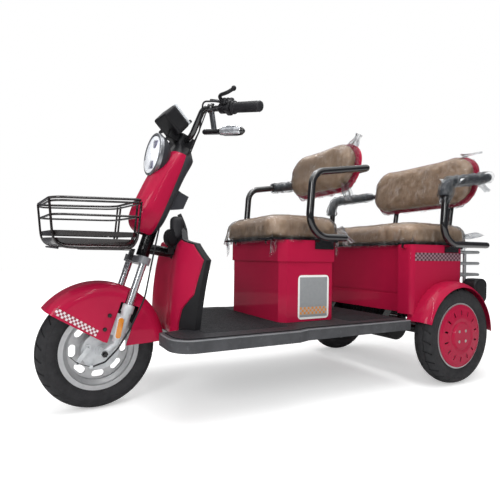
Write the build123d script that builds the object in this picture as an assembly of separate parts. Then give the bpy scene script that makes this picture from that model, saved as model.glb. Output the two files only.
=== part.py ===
from build123d import *
import os
from math import cos, pi, radians, sin, tan

# Electric tricycle with two bench seats.  Millimetres, +X towards the rear,
# -Y to the rider's left, +Z up.  The origin lies on the ground, half-way
# along and half-way across the vehicle.

os.makedirs("parts", exist_ok=True)

# ---------------------------------------------------------------- layout
WHEELBASE = 1440.0
FRONT_OVERHANG = 206.0          # front axle to the front of the tyre as it rests
REAR_OVERHANG = 298.0           # rear axle to the rear guard rails
TRACK = 670.0
FRONT_AXLE_X = (FRONT_OVERHANG - WHEELBASE - REAR_OVERHANG) / 2
REAR_AXLE_X = FRONT_AXLE_X + WHEELBASE
REAR_END_X = REAR_AXLE_X + REAR_OVERHANG
SEAT_GAP = 0.3                  # clearance between curved pieces that seat on each other
RUNNING_GAP = 0.05              # radial clearance of a shaft in its bearing
PANEL_WALL = 4.0                # pressed and moulded body panels

# ---------------------------------------------------------------- wheels
TYRE_RADIUS = 207.0
TYRE_WIDTH = 84.0
TYRE_BULGE_RADIUS = 166.0
TYRE_SHOULDER_RADIUS = 190.0
TREAD_WIDTH = 72.0
CROWN_WIDTH = 34.0
BEAD_RADIUS = 127.0
FLANGE_RADIUS = 139.0
FLANGE_WALL = 4.0
RIM_WIDTH = 56.0                # between the flanges
RIM_WALL = 4.0
RIM_WELL_RADIUS = 112.0
RIM_BEAD_SEAT = 11.0
AXLE_Z = TYRE_RADIUS
AXLE_RADIUS = 6.0
AXLE_NUT_RADIUS = 11.0
AXLE_NUT_WIDTH = 9.0
HUB_RADIUS = 20.0
HUB_HALF_WIDTH = 38.0
DRUM_RADIUS = 66.0
DRUM_WALL = 6.0
DRUM_DEPTH = 30.0               # from the wheel's middle to the drum's open face
WEB_THICKNESS = 9.0
WEB_HOLES = 8
WEB_HOLE_CIRCLE = 89.0          # radius of the ring of oblong holes
WEB_HOLE_LENGTH = 44.0
WEB_HOLE_WIDTH = 24.0
COVER_RADIUS = 133.0            # pressed cover of a rear wheel
COVER_WALL = 2.5
COVER_DISH = 14.0
COVER_SLOTS = 14
COVER_SLOT_CIRCLE = 98.0
COVER_SLOT_LENGTH = 22.0
COVER_SLOT_WIDTH = 7.0
STUB_RADIUS = 14.0              # rear stub axle

# ---------------------------------------------------------------- steering
RAKE = 18.7                     # steering axis from the vertical, degrees
FORK_LEAD = 31.0                # front axle ahead of the fork legs
CROWN_LEAD = 15.0               # fork legs ahead of the steering axis
STEER_AT_REST = 6.0             # the bars rest turned a little to the left, degrees
LEG_SPACING = 146.0
STANCHION_RADIUS = 13.5
SLIDER_RADIUS = 18.0
SLIDER_BOTTOM = 46.0            # heights along the steering axis from the axle's foot
SLIDER_TOP = 150.0
CAP_TOP = 178.0
CAP_RADIUS = 21.0
CROWN_BOTTOM = 327.0
CROWN_TOP = 353.0
HEAD_BOTTOM = 358.0
HEAD_TOP = 500.0
HEAD_RADIUS = 24.0
STEM_TOP = 812.0
STEM_RADIUS = 14.0

FOOT_RADIUS = 11.0
LUG_RADIUS = 15.0
LUG_HALF_WIDTH = 11.0
TAB_REACH = 66.0                # the mudguard's tab ahead of the leg
TAB_WALL = 4.0
TAB_LOW = 65.0
TAB_HIGH = 140.0
CROWN_DEPTH = 40.0
BRAKE_CAM = (-44.0, 16.0)
BRAKE_ARM_ANGLE = -128.0
BRAKE_ARM = 58.0
STAY_UP = 600.0                 # height of the stay that carries the cowl
STAY_SIZE = (34.0, 6.0)         # along the vehicle and thick

RAKE_RAD = radians(RAKE)
STEER_UP = Vector(sin(RAKE_RAD), 0, cos(RAKE_RAD))
STEER_BACK = Vector(cos(RAKE_RAD), 0, -sin(RAKE_RAD))
STEER_FOOT = Vector(FRONT_AXLE_X, 0, AXLE_Z) + STEER_BACK * (FORK_LEAD + CROWN_LEAD)
STEER_AXIS = Axis(STEER_FOOT, STEER_UP)
FORK = Plane(origin=STEER_FOOT, x_dir=STEER_BACK, z_dir=STEER_UP)
FORK_SIDE = Plane(origin=STEER_FOOT, x_dir=STEER_BACK, z_dir=(0, -1, 0))
LEG_X = -CROWN_LEAD
AXLE_FORK_X = -(FORK_LEAD + CROWN_LEAD)

# ---------------------------------------------------------------- bars and lamp, in the fork's frame
BAR_RADIUS = 11.0
BAR_CLAMP = (8.0, 62.0, 828.0)          # back, out and up along the steering axis
BAR_RISE = (-8.0, 126.0, 920.0)
BAR_SHOULDER = (36.0, 186.0, 929.0)
BAR_END = (90.0, 336.0, 917.0)
BAR_BENDS = (50.0, 26.0, 26.0)
CLAMP_HALF_WIDTH = 28.0
CLAMP_FRONT = -19.0
CLAMP_BACK = 42.0
CLAMP_TOP = 848.0
GRIP_RADIUS = 17.0
GRIP_LENGTH = 112.0
CONTROL_INSET = 18.0                    # middle of the hand control beyond the grip
CONTROL_HALF_WIDTH = 14.0
LAMP_RADIUS = 79.0
LAMP_CENTRE = (-92.0, 726.0)            # back and up
LAMP_LEAN = 11.4                        # degrees from the steering axis
LAMP_DEPTH = 62.0
BEZEL_DEPTH = 14.0
BEZEL_WIDTH = 9.0
LENS_RISE = 8.0
METER_SIZE = (92.0, 100.0, 70.0)        # along its face, across and deep
METER_CENTRE = (-58.0, 876.0)
METER_TILT = 24.7
METER_CORNER = 8.0
METER_NECK = 20.0                       # half width of its neck
LEVER_RADIUS = 6.0
MIRROR_THREAD_RADIUS = 4.0
MIRROR_THREAD_DEPTH = 12.0
MIRROR_BOSS = 20.0
INDICATOR_RADIUS = 16.0
INDICATOR_STATION = 31.0                # along the bar from its lower bend
CABLE_RADIUS = 3.0
WIRE_RADIUS = 1.2
CABLE_HOLE = 0.05                       # radial clearance of a cable where it enters a piece
LEVER_CABLE = ((18.0, 209.0, 936.0), (-31.0, 160.0, 925.0), (18.0, 97.0, 855.0), (28.0, 32.0, 766.0))
LEVER_CABLE_BENDS = (16.0, 60.0)
SWITCH_CABLE_RADIUS = 2.2
SWITCH_CABLE = ((28.6, 208.5, 924.3), (-10.0, 166.0, 898.0), (22.0, 83.0, 846.0), (38.0, 30.0, 768.0))
SWITCH_CABLE_BENDS = (24.0, 30.0)
BRAKE_CABLE = ((-62.0, 50.5, -57.0), (-29.0, 70.0, -27.0), (-13.0, 99.0, 30.0), (4.0, 101.0, 98.0),
               (23.0, 96.0, 212.0), (16.0, 72.0, 335.0), (12.0, 36.0, 490.0))
BRAKE_CABLE_BENDS = (20.0, 40.0, 120.0, 200.0, 200.0)
BRAKE_WIRE = ((-142.0, 50.5, -40.0), (-112.0, 50.5, -54.6), (-62.0, 50.5, -57.0))
BRAKE_STOP_RADIUS = 6.5                 # lug on the brake plate that holds the cable's end
BRAKE_STOP_REACH = 6.0
BRAKE_PIN_RADIUS = 2.45                 # pin that joins the wire to the cam lever
BRAKE_PIN_LENGTH = 10.0
KEY_Y = -16.0
KEY_HALF_WIDTH = 20.0

# ---------------------------------------------------------------- cowl sections, in the fork's frame
COWL_UP = (436.0, 458.0, 500.0, 560.0, 620.0, 680.0, 735.0, 762.0)
COWL_FRONT = (-52.0, -85.0, -94.0, -87.0, -78.0, -66.0, -48.0, -34.0)
COWL_BACK = (-4.0, 16.0, 31.0, 37.0, 41.0, 47.0, 58.0, 62.0)
COWL_HALF = (30.0, 50.0, 62.0, 68.0, 70.0, 70.0, 66.0, 60.0)
COWL_WALL = 3.0
COWL_SEAM = 4.0
COWL_SEAM_LEAN = 3.5

# ---------------------------------------------------------------- front bodywork, distances behind the front axle
BASKET_FRONT = -184.0
BASKET_LENGTH = 292.0
BASKET_HALF_WIDTH = 158.0
BASKET_BOTTOM_Z = 575.0
BASKET_TOP_Z = 703.0
BASKET_RISE = 16.0              # rim climbs this much towards the rear
BASKET_WIRE = 3.5
BASKET_RIM = 5.0
BASKET_CORNER = 45.0
BASKET_TAPER = 16.0
BASKET_HOOPS = 4
BASKET_STAY = 2.2               # upright wires, in pairs
WIRE_SIDES = 6                  # drawn basket wire is hexagonal
BASKET_PAIRS = 4
BASKET_PAIR_GAP = 0.025         # half the space between a pair, as a share of the side
BRACKET_HALF_WIDTH = 25.0
BRACKET_WALL = 6.0
GUARD_TIP_ANGLE = 141.0
GUARD_TAIL_ANGLE = 7.0
GUARD_RADIUS = 236.0            # front mudguard
GUARD_HALF_WIDTH = 72.0
GUARD_WALL = 3.0
GUARD_CROWN = 44.0
SHIELD_LEVELS = (240.0, 330.0, 410.0, 520.0, 600.0, 665.0)
SHIELD_CENTRE = (256.0, 258.0, 262.0, 272.0, 282.0, 284.0)
SHIELD_RIDGE = (230.0, 235.0, 239.0, 256.0, 274.0, 284.0)
SHIELD_EDGE = (272.0, 288.0, 300.0, 322.0, 338.0, 350.0)
SHIELD_RIDGE_Y = 115.0
SHIELD_EDGE_Y = 210.0
SHIELD_WALL = 6.0
PANEL_THICKNESS = 20.0
TUNNEL_DEPTH = 56.0             # extra depth of the inner panel over the down tube
TUNNEL_HALF_WIDTH = 90.0
DOWN_TUBE_RADIUS = 19.0
DOWN_TUBE_X = 306.0
DOWN_TUBE_JOIN = 392.0          # where it meets the head tube, along the steering axis
DOWN_TUBE_BEND_Z = 540.0
HORN_RADIUS = 32.0

# ---------------------------------------------------------------- floor
FLOOR_TOP_Z = 280.0
FLOOR_RIM = 40.0
FLOOR_HALF_WIDTH = 333.0
FLOOR_REAR_HALF_WIDTH = 316.0
FLOOR_FRONT = 168.0             # behind the front axle
FLOOR_STEP = 650.0
FLOOR_CORNER = 70.0
FLOOR_NOTCH_HALF_WIDTH = 156.0
MAT_THICKNESS = 3.0
MAT_INSET = 15.0
MAT_TOP_Z = FLOOR_TOP_Z + SEAT_GAP + MAT_THICKNESS
FRAME_RAIL = 34.0               # square side rails under the floor
FRAME_HALF_WIDTH = 170.0
FRAME_PAD_Y = 120.0             # half length of the pads that carry the floor
FRAME_TOP_Z = FLOOR_TOP_Z - FLOOR_RIM - SEAT_GAP

# ---------------------------------------------------------------- front seat
BOX_FRONT = 638.0
BOX_REAR = 920.0
BOX_HALF_WIDTH = 203.0
BOX_TOP_Z = 600.0
BOX_STEP_Z = 517.0
BOX_STEP = 7.0
BOX_CHAMFER = 26.0
CUSHION_FRONT = 592.0
CUSHION_REAR = 948.0
CUSHION_HALF_WIDTH = 208.0
CUSHION_HEIGHT = 80.0
SEAT_BASE = 8.0
BACK_PAD = 48.0
BACK_SHELL = 12.0
BACK_LEAN = 9.0
BACK_CORNER = 95.0              # round ends of the backrests
PAD_ROUND = 24.0
CUSHION_CORNER = 58.0
CUSHION_ROUND = 34.0
FRONT_BACK_X = 958.0            # lower front edge of the front backrest
FRONT_BACK_Z = (829.0, 1040.0)
BACK_HALF_WIDTH = 205.0
FRONT_ARM_CROSS_Z = 905.0
ARM_TUBE_RADIUS = 14.0
ARM_LOW_Z = 612.0
FRONT_ARM_OUT = 28.0            # tube's middle out from the seat box
FRONT_ARM_Y = BOX_HALF_WIDTH + FRONT_ARM_OUT
HINGE_PIN_RADIUS = 4.0
HINGE_EYE_RADIUS = 7.0
HINGE_EYE_WIDTH = 10.0
HINGE_REACH = 10.0              # pin ahead of the face that carries it
HINGE_DROP = 8.0                # pin below the rim that the lid rests on
FRONT_HINGE_Y = 120.0

# ---------------------------------------------------------------- rear body
BODY_FRONT = 224.0              # ahead of the rear axle
BODY_PANEL = 184.0
BODY_REAR = 92.0                # behind the rear axle
BODY_PILLAR = 67.0
BODY_BOTTOM_Z = 262.0
BODY_FLOOR_Z = 300.0
BODY_TOP_Z = 592.0
FENDER_OVER = 23.0              # clear of the tread
FENDER_BESIDE = 10.0            # inner wall clear of the tyre's side
FENDER_PAST = 3.0               # lip past the tyre's outer side
FENDER_RADIUS = TYRE_RADIUS + FENDER_OVER
FENDER_INNER_Y = TRACK / 2 - TYRE_WIDTH / 2 - FENDER_BESIDE
FENDER_OUTER_Y = TRACK / 2 + TYRE_WIDTH / 2 + FENDER_PAST
BODY_LAP = 27.0                 # body's side past the fender's inner wall
BODY_HALF_WIDTH = FENDER_INNER_Y + BODY_LAP
REAR_HINGE_IN = 35.0            # hinges in from the body's sides
REAR_HINGE_Y = BODY_HALF_WIDTH - REAR_HINGE_IN
FENDER_WALL = 3.0
FENDER_FOOT = 110.0             # radius that the inner wall reaches down to
FENDER_FLAT = 50.0
FENDER_DROP = 24.0
FENDER_FRONT_ANGLE = 163.0
FENDER_REAR_ANGLE = 2.0
TAIL_LAMP_LENGTH = 88.0
TAIL_LAMP_WIDTH = 60.0
TAIL_LAMP_EDGE = 4.0            # outer side in from the fender's lip
TAIL_LAMP_Z = (340.0, 448.0)
RAIL_RADIUS = 7.0
RAIL_IN = 15.0                  # side rails in from the body's sides
RAIL_HALF_WIDTH = BODY_HALF_WIDTH - RAIL_IN
RAIL_HEIGHTS = (565.0, 513.0, 460.0, 407.0)
REAR_SEAT_IN = 10.0             # cushion in from the body's sides
REAR_SEAT_HALF_WIDTH = BODY_HALF_WIDTH - REAR_SEAT_IN
REAR_SEAT_FRONT = 214.0         # ahead of the rear axle
REAR_SEAT_REAR = 198.0          # behind the rear axle
REAR_BACK_X = 191.0
REAR_BACK_Z = (800.0, 1046.0)
REAR_BACK_IN = 30.0             # backrest in from the body's sides
REAR_BACK_HALF_WIDTH = BODY_HALF_WIDTH - REAR_BACK_IN
REAR_ARM_LOW_Z = 597.0
REAR_ARM_CROSS_Z = 912.0
RAIL_BAR_Y = 150.0
REAR_ARM_OUT = 21.0             # tube's middle out from the body
REAR_ARM_Y = BODY_HALF_WIDTH + REAR_ARM_OUT
POST_RADIUS = 12.0
POST_Y = 156.0
AXLE_TUBE_RADIUS = 24.0
AXLE_TUBE_IN = 13.0             # tube's end in from the fender's inner wall
AXLE_TUBE_HALF = FENDER_INNER_Y - AXLE_TUBE_IN
MOTOR_RADIUS = 70.0
SPRING_Y = 210.0
SPRING_WIDTH = 40.0
SPRING_HALF_LENGTH = 200.0
SPRING_RADIUS = 812.0
SPRING_LEAF = 7.0


def save(node, shape):
    """Write one node's solids."""
    export_step(shape, f"parts/{node}.step")


def steered(shape):
    """Turn a piece of the fork with the steering, as it rests."""
    return shape.rotate(STEER_AXIS, STEER_AT_REST)


def mirrored(shape):
    """The same piece on the other side."""
    return mirror(shape, about=Plane.XZ)


def fork(back, out, up):
    """A point in the fork's frame: back from, out from and up along the steering axis."""
    return FORK.from_local_coords(Vector(back, out, up))


def fork_line(back=0.0, out=0.0):
    """A plane across the steering axis, set off from it."""
    return Plane(origin=fork(back, out, 0), x_dir=STEER_BACK, z_dir=STEER_UP)


def pair(shape):
    """A left piece with its mirror image."""
    return shape + mirrored(shape)


def behind(distance):
    """A station this far behind the front axle."""
    return FRONT_AXLE_X + distance


def rod(points, radius, bend=None):
    """A round bar along straight runs joined by tangent bends."""
    if len(points) == 2:
        path = Line(*points)
    else:
        path = FilletPolyline(*points, radius=bend)
    start = Plane(origin=path @ 0, z_dir=path % 0)
    return sweep(start * Circle(radius), path=path)


def pipe_along(plane, radius, low, high, bore=0.0):
    """A round bar or tube along a plane's normal, between two heights."""
    shape = plane.offset(low) * extrude(Circle(radius), high - low)
    if bore:
        shape -= plane.offset(low - 1) * extrude(Circle(bore), high - low + 2)
    return shape


def slab(x_low, x_high, y_low, y_high, z_low, z_high):
    """A box between its corners."""
    size = (x_high - x_low, y_high - y_low, z_high - z_low)
    middle = ((x_low + x_high) / 2, (y_low + y_high) / 2, (z_low + z_high) / 2)
    return Pos(*middle) * Box(*size)


# ================================================================ wheels
# A wheel is drawn about local Z with its outer face towards +Z.
def tyre():
    """Tyre carcass in straight facets: bead seat, bead, wall, shoulder and crown."""
    bead = RIM_WIDTH / 2 - SEAT_GAP
    seat = BEAD_RADIUS + SEAT_GAP
    side = [(seat, bead), (FLANGE_RADIUS + 2, bead), (TYRE_BULGE_RADIUS, TYRE_WIDTH / 2),
            (TYRE_SHOULDER_RADIUS, TREAD_WIDTH / 2), (TYRE_RADIUS, CROWN_WIDTH / 2)]
    other = [(radius, -across) for radius, across in reversed(side)]
    return revolve(Plane.XZ * make_face(Polyline(*side, *other, close=True)), Axis.Z)


def rim_barrel():
    edge = RIM_WIDTH / 2
    lip = edge + FLANGE_WALL
    well = edge - RIM_BEAD_SEAT - (BEAD_RADIUS - RIM_WELL_RADIUS) / 2
    outer = [(FLANGE_RADIUS, -lip), (FLANGE_RADIUS, -edge), (BEAD_RADIUS, -edge),
             (BEAD_RADIUS, RIM_BEAD_SEAT - edge), (RIM_WELL_RADIUS, -well), (RIM_WELL_RADIUS, well),
             (BEAD_RADIUS, edge - RIM_BEAD_SEAT), (BEAD_RADIUS, edge), (FLANGE_RADIUS, edge),
             (FLANGE_RADIUS, lip)]
    inner = [(BEAD_RADIUS - RIM_WALL, lip), (BEAD_RADIUS - RIM_WALL, edge - RIM_BEAD_SEAT + RIM_WALL / 2),
             (RIM_WELL_RADIUS - RIM_WALL, well + RIM_WALL / 2),
             (RIM_WELL_RADIUS - RIM_WALL, -well - RIM_WALL / 2),
             (BEAD_RADIUS - RIM_WALL, RIM_BEAD_SEAT - edge - RIM_WALL / 2), (BEAD_RADIUS - RIM_WALL, -lip)]
    return revolve(Plane.XZ * make_face(Polyline(*outer, *inner, close=True)), Axis.Z)


def ring(outer, inner, low, high):
    """A flat ring about local Z."""
    return pipe_along(Plane.XY, outer, low, high, inner)


def front_rim():
    shaft = AXLE_RADIUS + RUNNING_GAP
    web = ring(RIM_WELL_RADIUS - RIM_WALL / 2, DRUM_RADIUS - DRUM_WALL / 2, -WEB_THICKNESS / 2, WEB_THICKNESS / 2)
    hole = extrude(SlotOverall(WEB_HOLE_LENGTH, WEB_HOLE_WIDTH), WEB_THICKNESS, both=True)
    for turn in range(WEB_HOLES):
        web -= Rot(0, 0, turn * 360 / WEB_HOLES) * Pos(0, WEB_HOLE_CIRCLE, 0) * hole
    drum = ring(DRUM_RADIUS, DRUM_RADIUS - DRUM_WALL, -DRUM_DEPTH / 2, DRUM_DEPTH)
    drum_end = ring(DRUM_RADIUS, shaft, -DRUM_DEPTH / 2 - DRUM_WALL, -DRUM_DEPTH / 2)
    hub = ring(HUB_RADIUS, shaft, -HUB_HALF_WIDTH, DRUM_DEPTH - 4)
    return rim_barrel() + web + drum + drum_end + hub


def rear_rim():
    shaft = STUB_RADIUS + RUNNING_GAP
    web = ring(RIM_WELL_RADIUS - RIM_WALL / 2, HUB_RADIUS, -WEB_THICKNESS / 2, WEB_THICKNESS / 2)
    hub = ring(HUB_RADIUS + 6, shaft, -HUB_HALF_WIDTH + 6, HUB_HALF_WIDTH - 10)
    return rim_barrel() + web + hub


def wheel_cover():
    """Pressed cover: a dished disc with a ring of slots, clipped inside the outer flange."""
    low = RIM_WIDTH / 2 + FLANGE_WALL + SEAT_GAP
    edge = COVER_RADIUS
    face = COVER_SLOT_CIRCLE + COVER_SLOT_LENGTH
    hubcap = COVER_SLOT_CIRCLE - COVER_SLOT_LENGTH
    high = low + COVER_DISH
    wall = COVER_WALL
    profile = Polyline((0, high), (hubcap - 22, high), (hubcap - 16, high - 6), (hubcap, high - 4),
                       (face, high - 8), (edge - 4, low + wall), (edge, low + wall), (edge, low),
                       (edge - 5, low), (face - 1, high - 8 - wall), (hubcap, high - 4 - wall),
                       (hubcap - 17, high - 6 - wall), (hubcap - 23, high - wall), (0, high - wall), close=True)
    disc = revolve(Plane.XZ * make_face(profile), Axis.Z)
    slot = extrude(SlotOverall(COVER_SLOT_LENGTH, COVER_SLOT_WIDTH, rotation=90), high + 1)
    for turn in range(COVER_SLOTS):
        disc -= Rot(0, 0, turn * 360 / COVER_SLOTS) * Pos(0, COVER_SLOT_CIRCLE, 0) * slot
    return disc


LEFT_HAND = Rot(90, 0, 0)               # local +Z turns to face the left
FRONT_HUB = Pos(FRONT_AXLE_X, 0, AXLE_Z)
REAR_HUB = Pos(REAR_AXLE_X, -TRACK / 2, AXLE_Z)


# ================================================================ front fork
def fork_slider():
    """Left slider with its dust cap, the foot that leads to the axle, and the mudguard's tab."""
    out = -LEG_SPACING / 2
    line = fork_line(LEG_X, out)
    slider = pipe_along(line, SLIDER_RADIUS, SLIDER_BOTTOM, SLIDER_TOP)
    foot = rod([fork(LEG_X, out, SLIDER_BOTTOM + 12), fork(LEG_X, out, SLIDER_BOTTOM - 6),
                fork(AXLE_FORK_X, out, 0)], FOOT_RADIUS, 14)
    lug = Pos(FRONT_AXLE_X, out, AXLE_Z) * Rot(90, 0, 0) * Cylinder(LUG_RADIUS, 2 * LUG_HALF_WIDTH)
    cap = pipe_along(line, CAP_RADIUS, SLIDER_TOP, CAP_TOP)
    cap = chamfer(cap.edges().group_by(STEER_AXIS)[-1], 3)
    tab_outer = GUARD_HALF_WIDTH - GUARD_WALL - SEAT_GAP
    tab = FORK * Pos(LEG_X - TAB_REACH / 2, TAB_WALL / 2 - tab_outer, (TAB_LOW + TAB_HIGH) / 2)
    tab = tab * Box(TAB_REACH, TAB_WALL, TAB_HIGH - TAB_LOW)
    shape = slider + foot + lug + cap + tab
    return shape - Pos(FRONT_AXLE_X, out, AXLE_Z) * Rot(90, 0, 0) * Cylinder(AXLE_RADIUS + RUNNING_GAP, 40)


def stanchion():
    line = fork_line(LEG_X, -LEG_SPACING / 2)
    return pipe_along(line, STANCHION_RADIUS, CAP_TOP + SEAT_GAP, CROWN_BOTTOM - SEAT_GAP)


def crown():
    """Lower clamp, steering stem, and the stay that holds the cowl."""
    bridge = FORK.offset(CROWN_BOTTOM) * Pos(LEG_X / 2, 0, 0) * extrude(
        RectangleRounded(CROWN_DEPTH, LEG_SPACING, 12), CROWN_TOP - CROWN_BOTTOM)
    eye = pipe_along(fork_line(LEG_X, -LEG_SPACING / 2), STANCHION_RADIUS + 8, CROWN_BOTTOM, CROWN_TOP)
    stem = pipe_along(FORK, STEM_RADIUS, CROWN_BOTTOM, STEM_TOP)
    stay = FORK * Pos(-STAY_SIZE[0] / 2, 0, STAY_UP) * Box(STAY_SIZE[0], 4 * COWL_HALF[0], STAY_SIZE[1])
    return bridge + pair(eye) + stem + (stay & cowl_solid(COWL_WALL + SEAT_GAP))


def front_axle():
    half = LEG_SPACING / 2 + LUG_HALF_WIDTH + AXLE_NUT_WIDTH + 6
    axle = Pos(FRONT_AXLE_X, 0, AXLE_Z) * Rot(90, 0, 0) * Cylinder(AXLE_RADIUS, 2 * half)
    nut_y = LEG_SPACING / 2 + LUG_HALF_WIDTH + SEAT_GAP + AXLE_NUT_WIDTH / 2
    nut = extrude(RegularPolygon(AXLE_NUT_RADIUS, 6), AXLE_NUT_WIDTH / 2, both=True)
    return axle + pair(Pos(FRONT_AXLE_X, -nut_y, AXLE_Z) * Rot(90, 0, 0) * nut)


# ================================================================ brake
def brake_arm_place():
    """Where the cam lever lies on the end of its cam, local X along the lever."""
    return Pos(*BRAKE_CAM, DRUM_DEPTH + 13.5) * Rot(0, 0, BRAKE_ARM_ANGLE)


def brake_plate():
    """Backing plate of the left drum, its spacer on the axle, and the cam lever."""
    face = DRUM_DEPTH + 1.5
    leg_face = LEG_SPACING / 2 - LUG_HALF_WIDTH - SEAT_GAP
    plate = ring(DRUM_RADIUS - 1, AXLE_RADIUS + SEAT_GAP, face, face + 6)
    plate += ring(HUB_RADIUS, AXLE_RADIUS + SEAT_GAP, face, face + 14)
    plate += ring(AXLE_RADIUS + 6, AXLE_RADIUS + SEAT_GAP, face, leg_face)
    cam = Pos(*BRAKE_CAM, 0)
    plate += cam * ring(11, 4, face, face + 12)
    arm = brake_arm_place()
    plate += arm * Pos(BRAKE_ARM / 2, 0, 2.5) * Box(BRAKE_ARM, 15, 5)
    plate += arm * Pos(BRAKE_ARM, 0, 2.5) * Cylinder(8, 5)
    plate -= arm * Pos(BRAKE_ARM, 0, 2.5) * Cylinder(BRAKE_PIN_RADIUS + CABLE_HOLE, 6)
    return FRONT_HUB * LEFT_HAND * plate + brake_stop(face + 3)


def brake_stop(plate_face):
    """Lug that stands out from the brake plate and takes the end of the cable."""
    start, end = [fork(back, -out, up) for back, out, up in BRAKE_CABLE[:2]]
    along = (end - start).normalized()
    plane = Plane(origin=start, x_dir=(0, 1, 0), z_dir=along)
    eye = plane * extrude(Circle(BRAKE_STOP_RADIUS), BRAKE_STOP_REACH, both=True)
    depth = -start.Y - plate_face
    foot = Pos(start.X, -plate_face - depth / 2, start.Z) * Rot(90, 0, 0) * Cylinder(BRAKE_STOP_RADIUS, depth)
    cable = plane * extrude(Circle(CABLE_RADIUS + CABLE_HOLE), 2 * BRAKE_STOP_REACH)
    return eye + foot - cable - cable_hole(BRAKE_WIRE, WIRE_RADIUS)


# ================================================================ mudguard
def guard_side(radius, drop):
    """Side view about the axle: a round top, a straight lower edge ahead and a flap behind."""
    tip = (radius * cos(radians(GUARD_TIP_ANGLE)), radius * sin(radians(GUARD_TIP_ANGLE)))
    tail = (radius * cos(radians(GUARD_TAIL_ANGLE)), radius * sin(radians(GUARD_TAIL_ANGLE)))
    top = ThreePointArc(tip, (0, radius), tail)
    lower = Polyline(tail, (tail[0] - 6, 20 - drop), (60, 16 - drop), (-2, 38 - drop), tip)
    return make_face(top + lower)


def guard_solid(radius, half_width, crown, drop):
    body = extrude(Plane.XZ * guard_side(radius, drop), half_width, both=True)
    rim = [edge for edge in body.edges() if edge.geom_type == GeomType.CIRCLE]
    return fillet(rim, crown)


def mudguard():
    outer = guard_solid(GUARD_RADIUS, GUARD_HALF_WIDTH, GUARD_CROWN, 0)
    inner = guard_solid(GUARD_RADIUS - GUARD_WALL, GUARD_HALF_WIDTH - GUARD_WALL, GUARD_CROWN - GUARD_WALL, 60)
    shell = Pos(FRONT_AXLE_X, 0, AXLE_Z) * (outer - inner)
    line = fork_line(LEG_X, -LEG_SPACING / 2)
    slot = line.offset(-20) * Pos(4, 0, 0) * extrude(SlotCenterToCenter(20, 2 * CAP_RADIUS + 6), 200)
    hole = pipe_along(line, STANCHION_RADIUS + 3, 0, 400)
    return shell - pair(slot) - pair(hole)


# ================================================================ cowl
def cowl_solid(wall):
    """The cowl's outer form, or the same form a wall's thickness inside."""
    sections = []
    for up, front, back, half in zip(COWL_UP, COWL_FRONT, COWL_BACK, COWL_HALF):
        depth = back - front - 2 * wall
        width = 2 * (half - wall)
        corner = min(depth, width) * 0.42
        middle = Pos((front + back) / 2, 0, up)
        sections.append(FORK * middle * RectangleRounded(depth, width, corner))
    return loft(sections)


def seam_block(side):
    """A block ahead of (-1) or behind (+1) the cowl's seam."""
    size = 400.0
    seam = Plane(origin=fork(COWL_SEAM, 0, STAY_UP), x_dir=STEER_BACK, z_dir=STEER_UP)
    seam = seam.rotated((0, COWL_SEAM_LEAN, 0))
    return seam * Pos(side * (size + SEAT_GAP) / 2, 0, 0) * Box(size, size, 2 * size)


def key_housing():
    """Ignition switch on the cowl's back."""
    side = Polyline((20, 545), (34, 555), (82, 578), (88, 630), (54, 632), (20, 640), close=True)
    shape = Pos(0, KEY_Y, 0) * extrude(FORK_SIDE * make_face(side), KEY_HALF_WIDTH, both=True)
    return shape - cowl_solid(COWL_WALL / 2)


# ================================================================ lamp and meter
def lamp_plane():
    centre = fork(LAMP_CENTRE[0], 0, LAMP_CENTRE[1])
    lean = RAKE_RAD - radians(LAMP_LEAN)
    forward = Vector(-cos(lean), 0, sin(lean))
    return Plane(origin=centre, x_dir=(0, 1, 0), z_dir=forward)


def lamp_bucket(grow=0.0):
    """Round-backed bucket, or the same form grown for the opening that holds it."""
    radius = LAMP_RADIUS - 2 + grow
    back = -LAMP_DEPTH - grow
    rim = -BEZEL_DEPTH + grow
    outline = Line((0, back), (LAMP_RADIUS * 0.35, back))
    outline += ThreePointArc((LAMP_RADIUS * 0.35, back), (LAMP_RADIUS * 0.84 + grow, back * 0.6), (radius, rim))
    outline += Line((radius, rim), (0, rim))
    outline += Line((0, rim), (0, back))
    return lamp_plane() * revolve(Plane.XZ * make_face(outline), Axis.Z)


def lamp_opening():
    """What the cowl leaves open for the lamp."""
    hole = pipe_along(lamp_plane(), LAMP_RADIUS + SEAT_GAP, -BEZEL_DEPTH - SEAT_GAP, LAMP_DEPTH)
    return lamp_bucket(SEAT_GAP) + hole


def lamp_bezel():
    bezel = pipe_along(Plane.XY, LAMP_RADIUS, -BEZEL_DEPTH + SEAT_GAP, 0, LAMP_RADIUS - BEZEL_WIDTH)
    return lamp_plane() * fillet(bezel.edges().group_by(Axis.Z)[-1], 3)


def lamp_lens():
    radius = LAMP_RADIUS - BEZEL_WIDTH - SEAT_GAP
    back = -BEZEL_DEPTH + SEAT_GAP
    rim = -3.0
    dome = (radius ** 2 + LENS_RISE ** 2) / (2 * LENS_RISE)
    half = radius / 2
    half_rise = rim + LENS_RISE - dome + (dome ** 2 - half ** 2) ** 0.5
    outline = Line((0, back), (radius, back)) + Line((radius, back), (radius, rim))
    outline += ThreePointArc((radius, rim), (half, half_rise), (0, rim + LENS_RISE))
    outline += Line((0, rim + LENS_RISE), (0, back))
    return lamp_plane() * revolve(Plane.XZ * make_face(outline), Axis.Z)


def meter():
    """Instrument box tilted to the rider, on a neck from the bar clamp."""
    box = FORK * Pos(METER_CENTRE[0], 0, METER_CENTRE[1]) * Rot(0, METER_TILT, 0) * Box(*METER_SIZE)
    box = fillet(box.edges(), METER_CORNER)
    reach = CLAMP_FRONT - SEAT_GAP - METER_CENTRE[0]
    neck = FORK * Pos(METER_CENTRE[0] + reach / 2, 0, CLAMP_TOP - 22) * Box(reach, 2 * METER_NECK, 30)
    return box + neck


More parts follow.
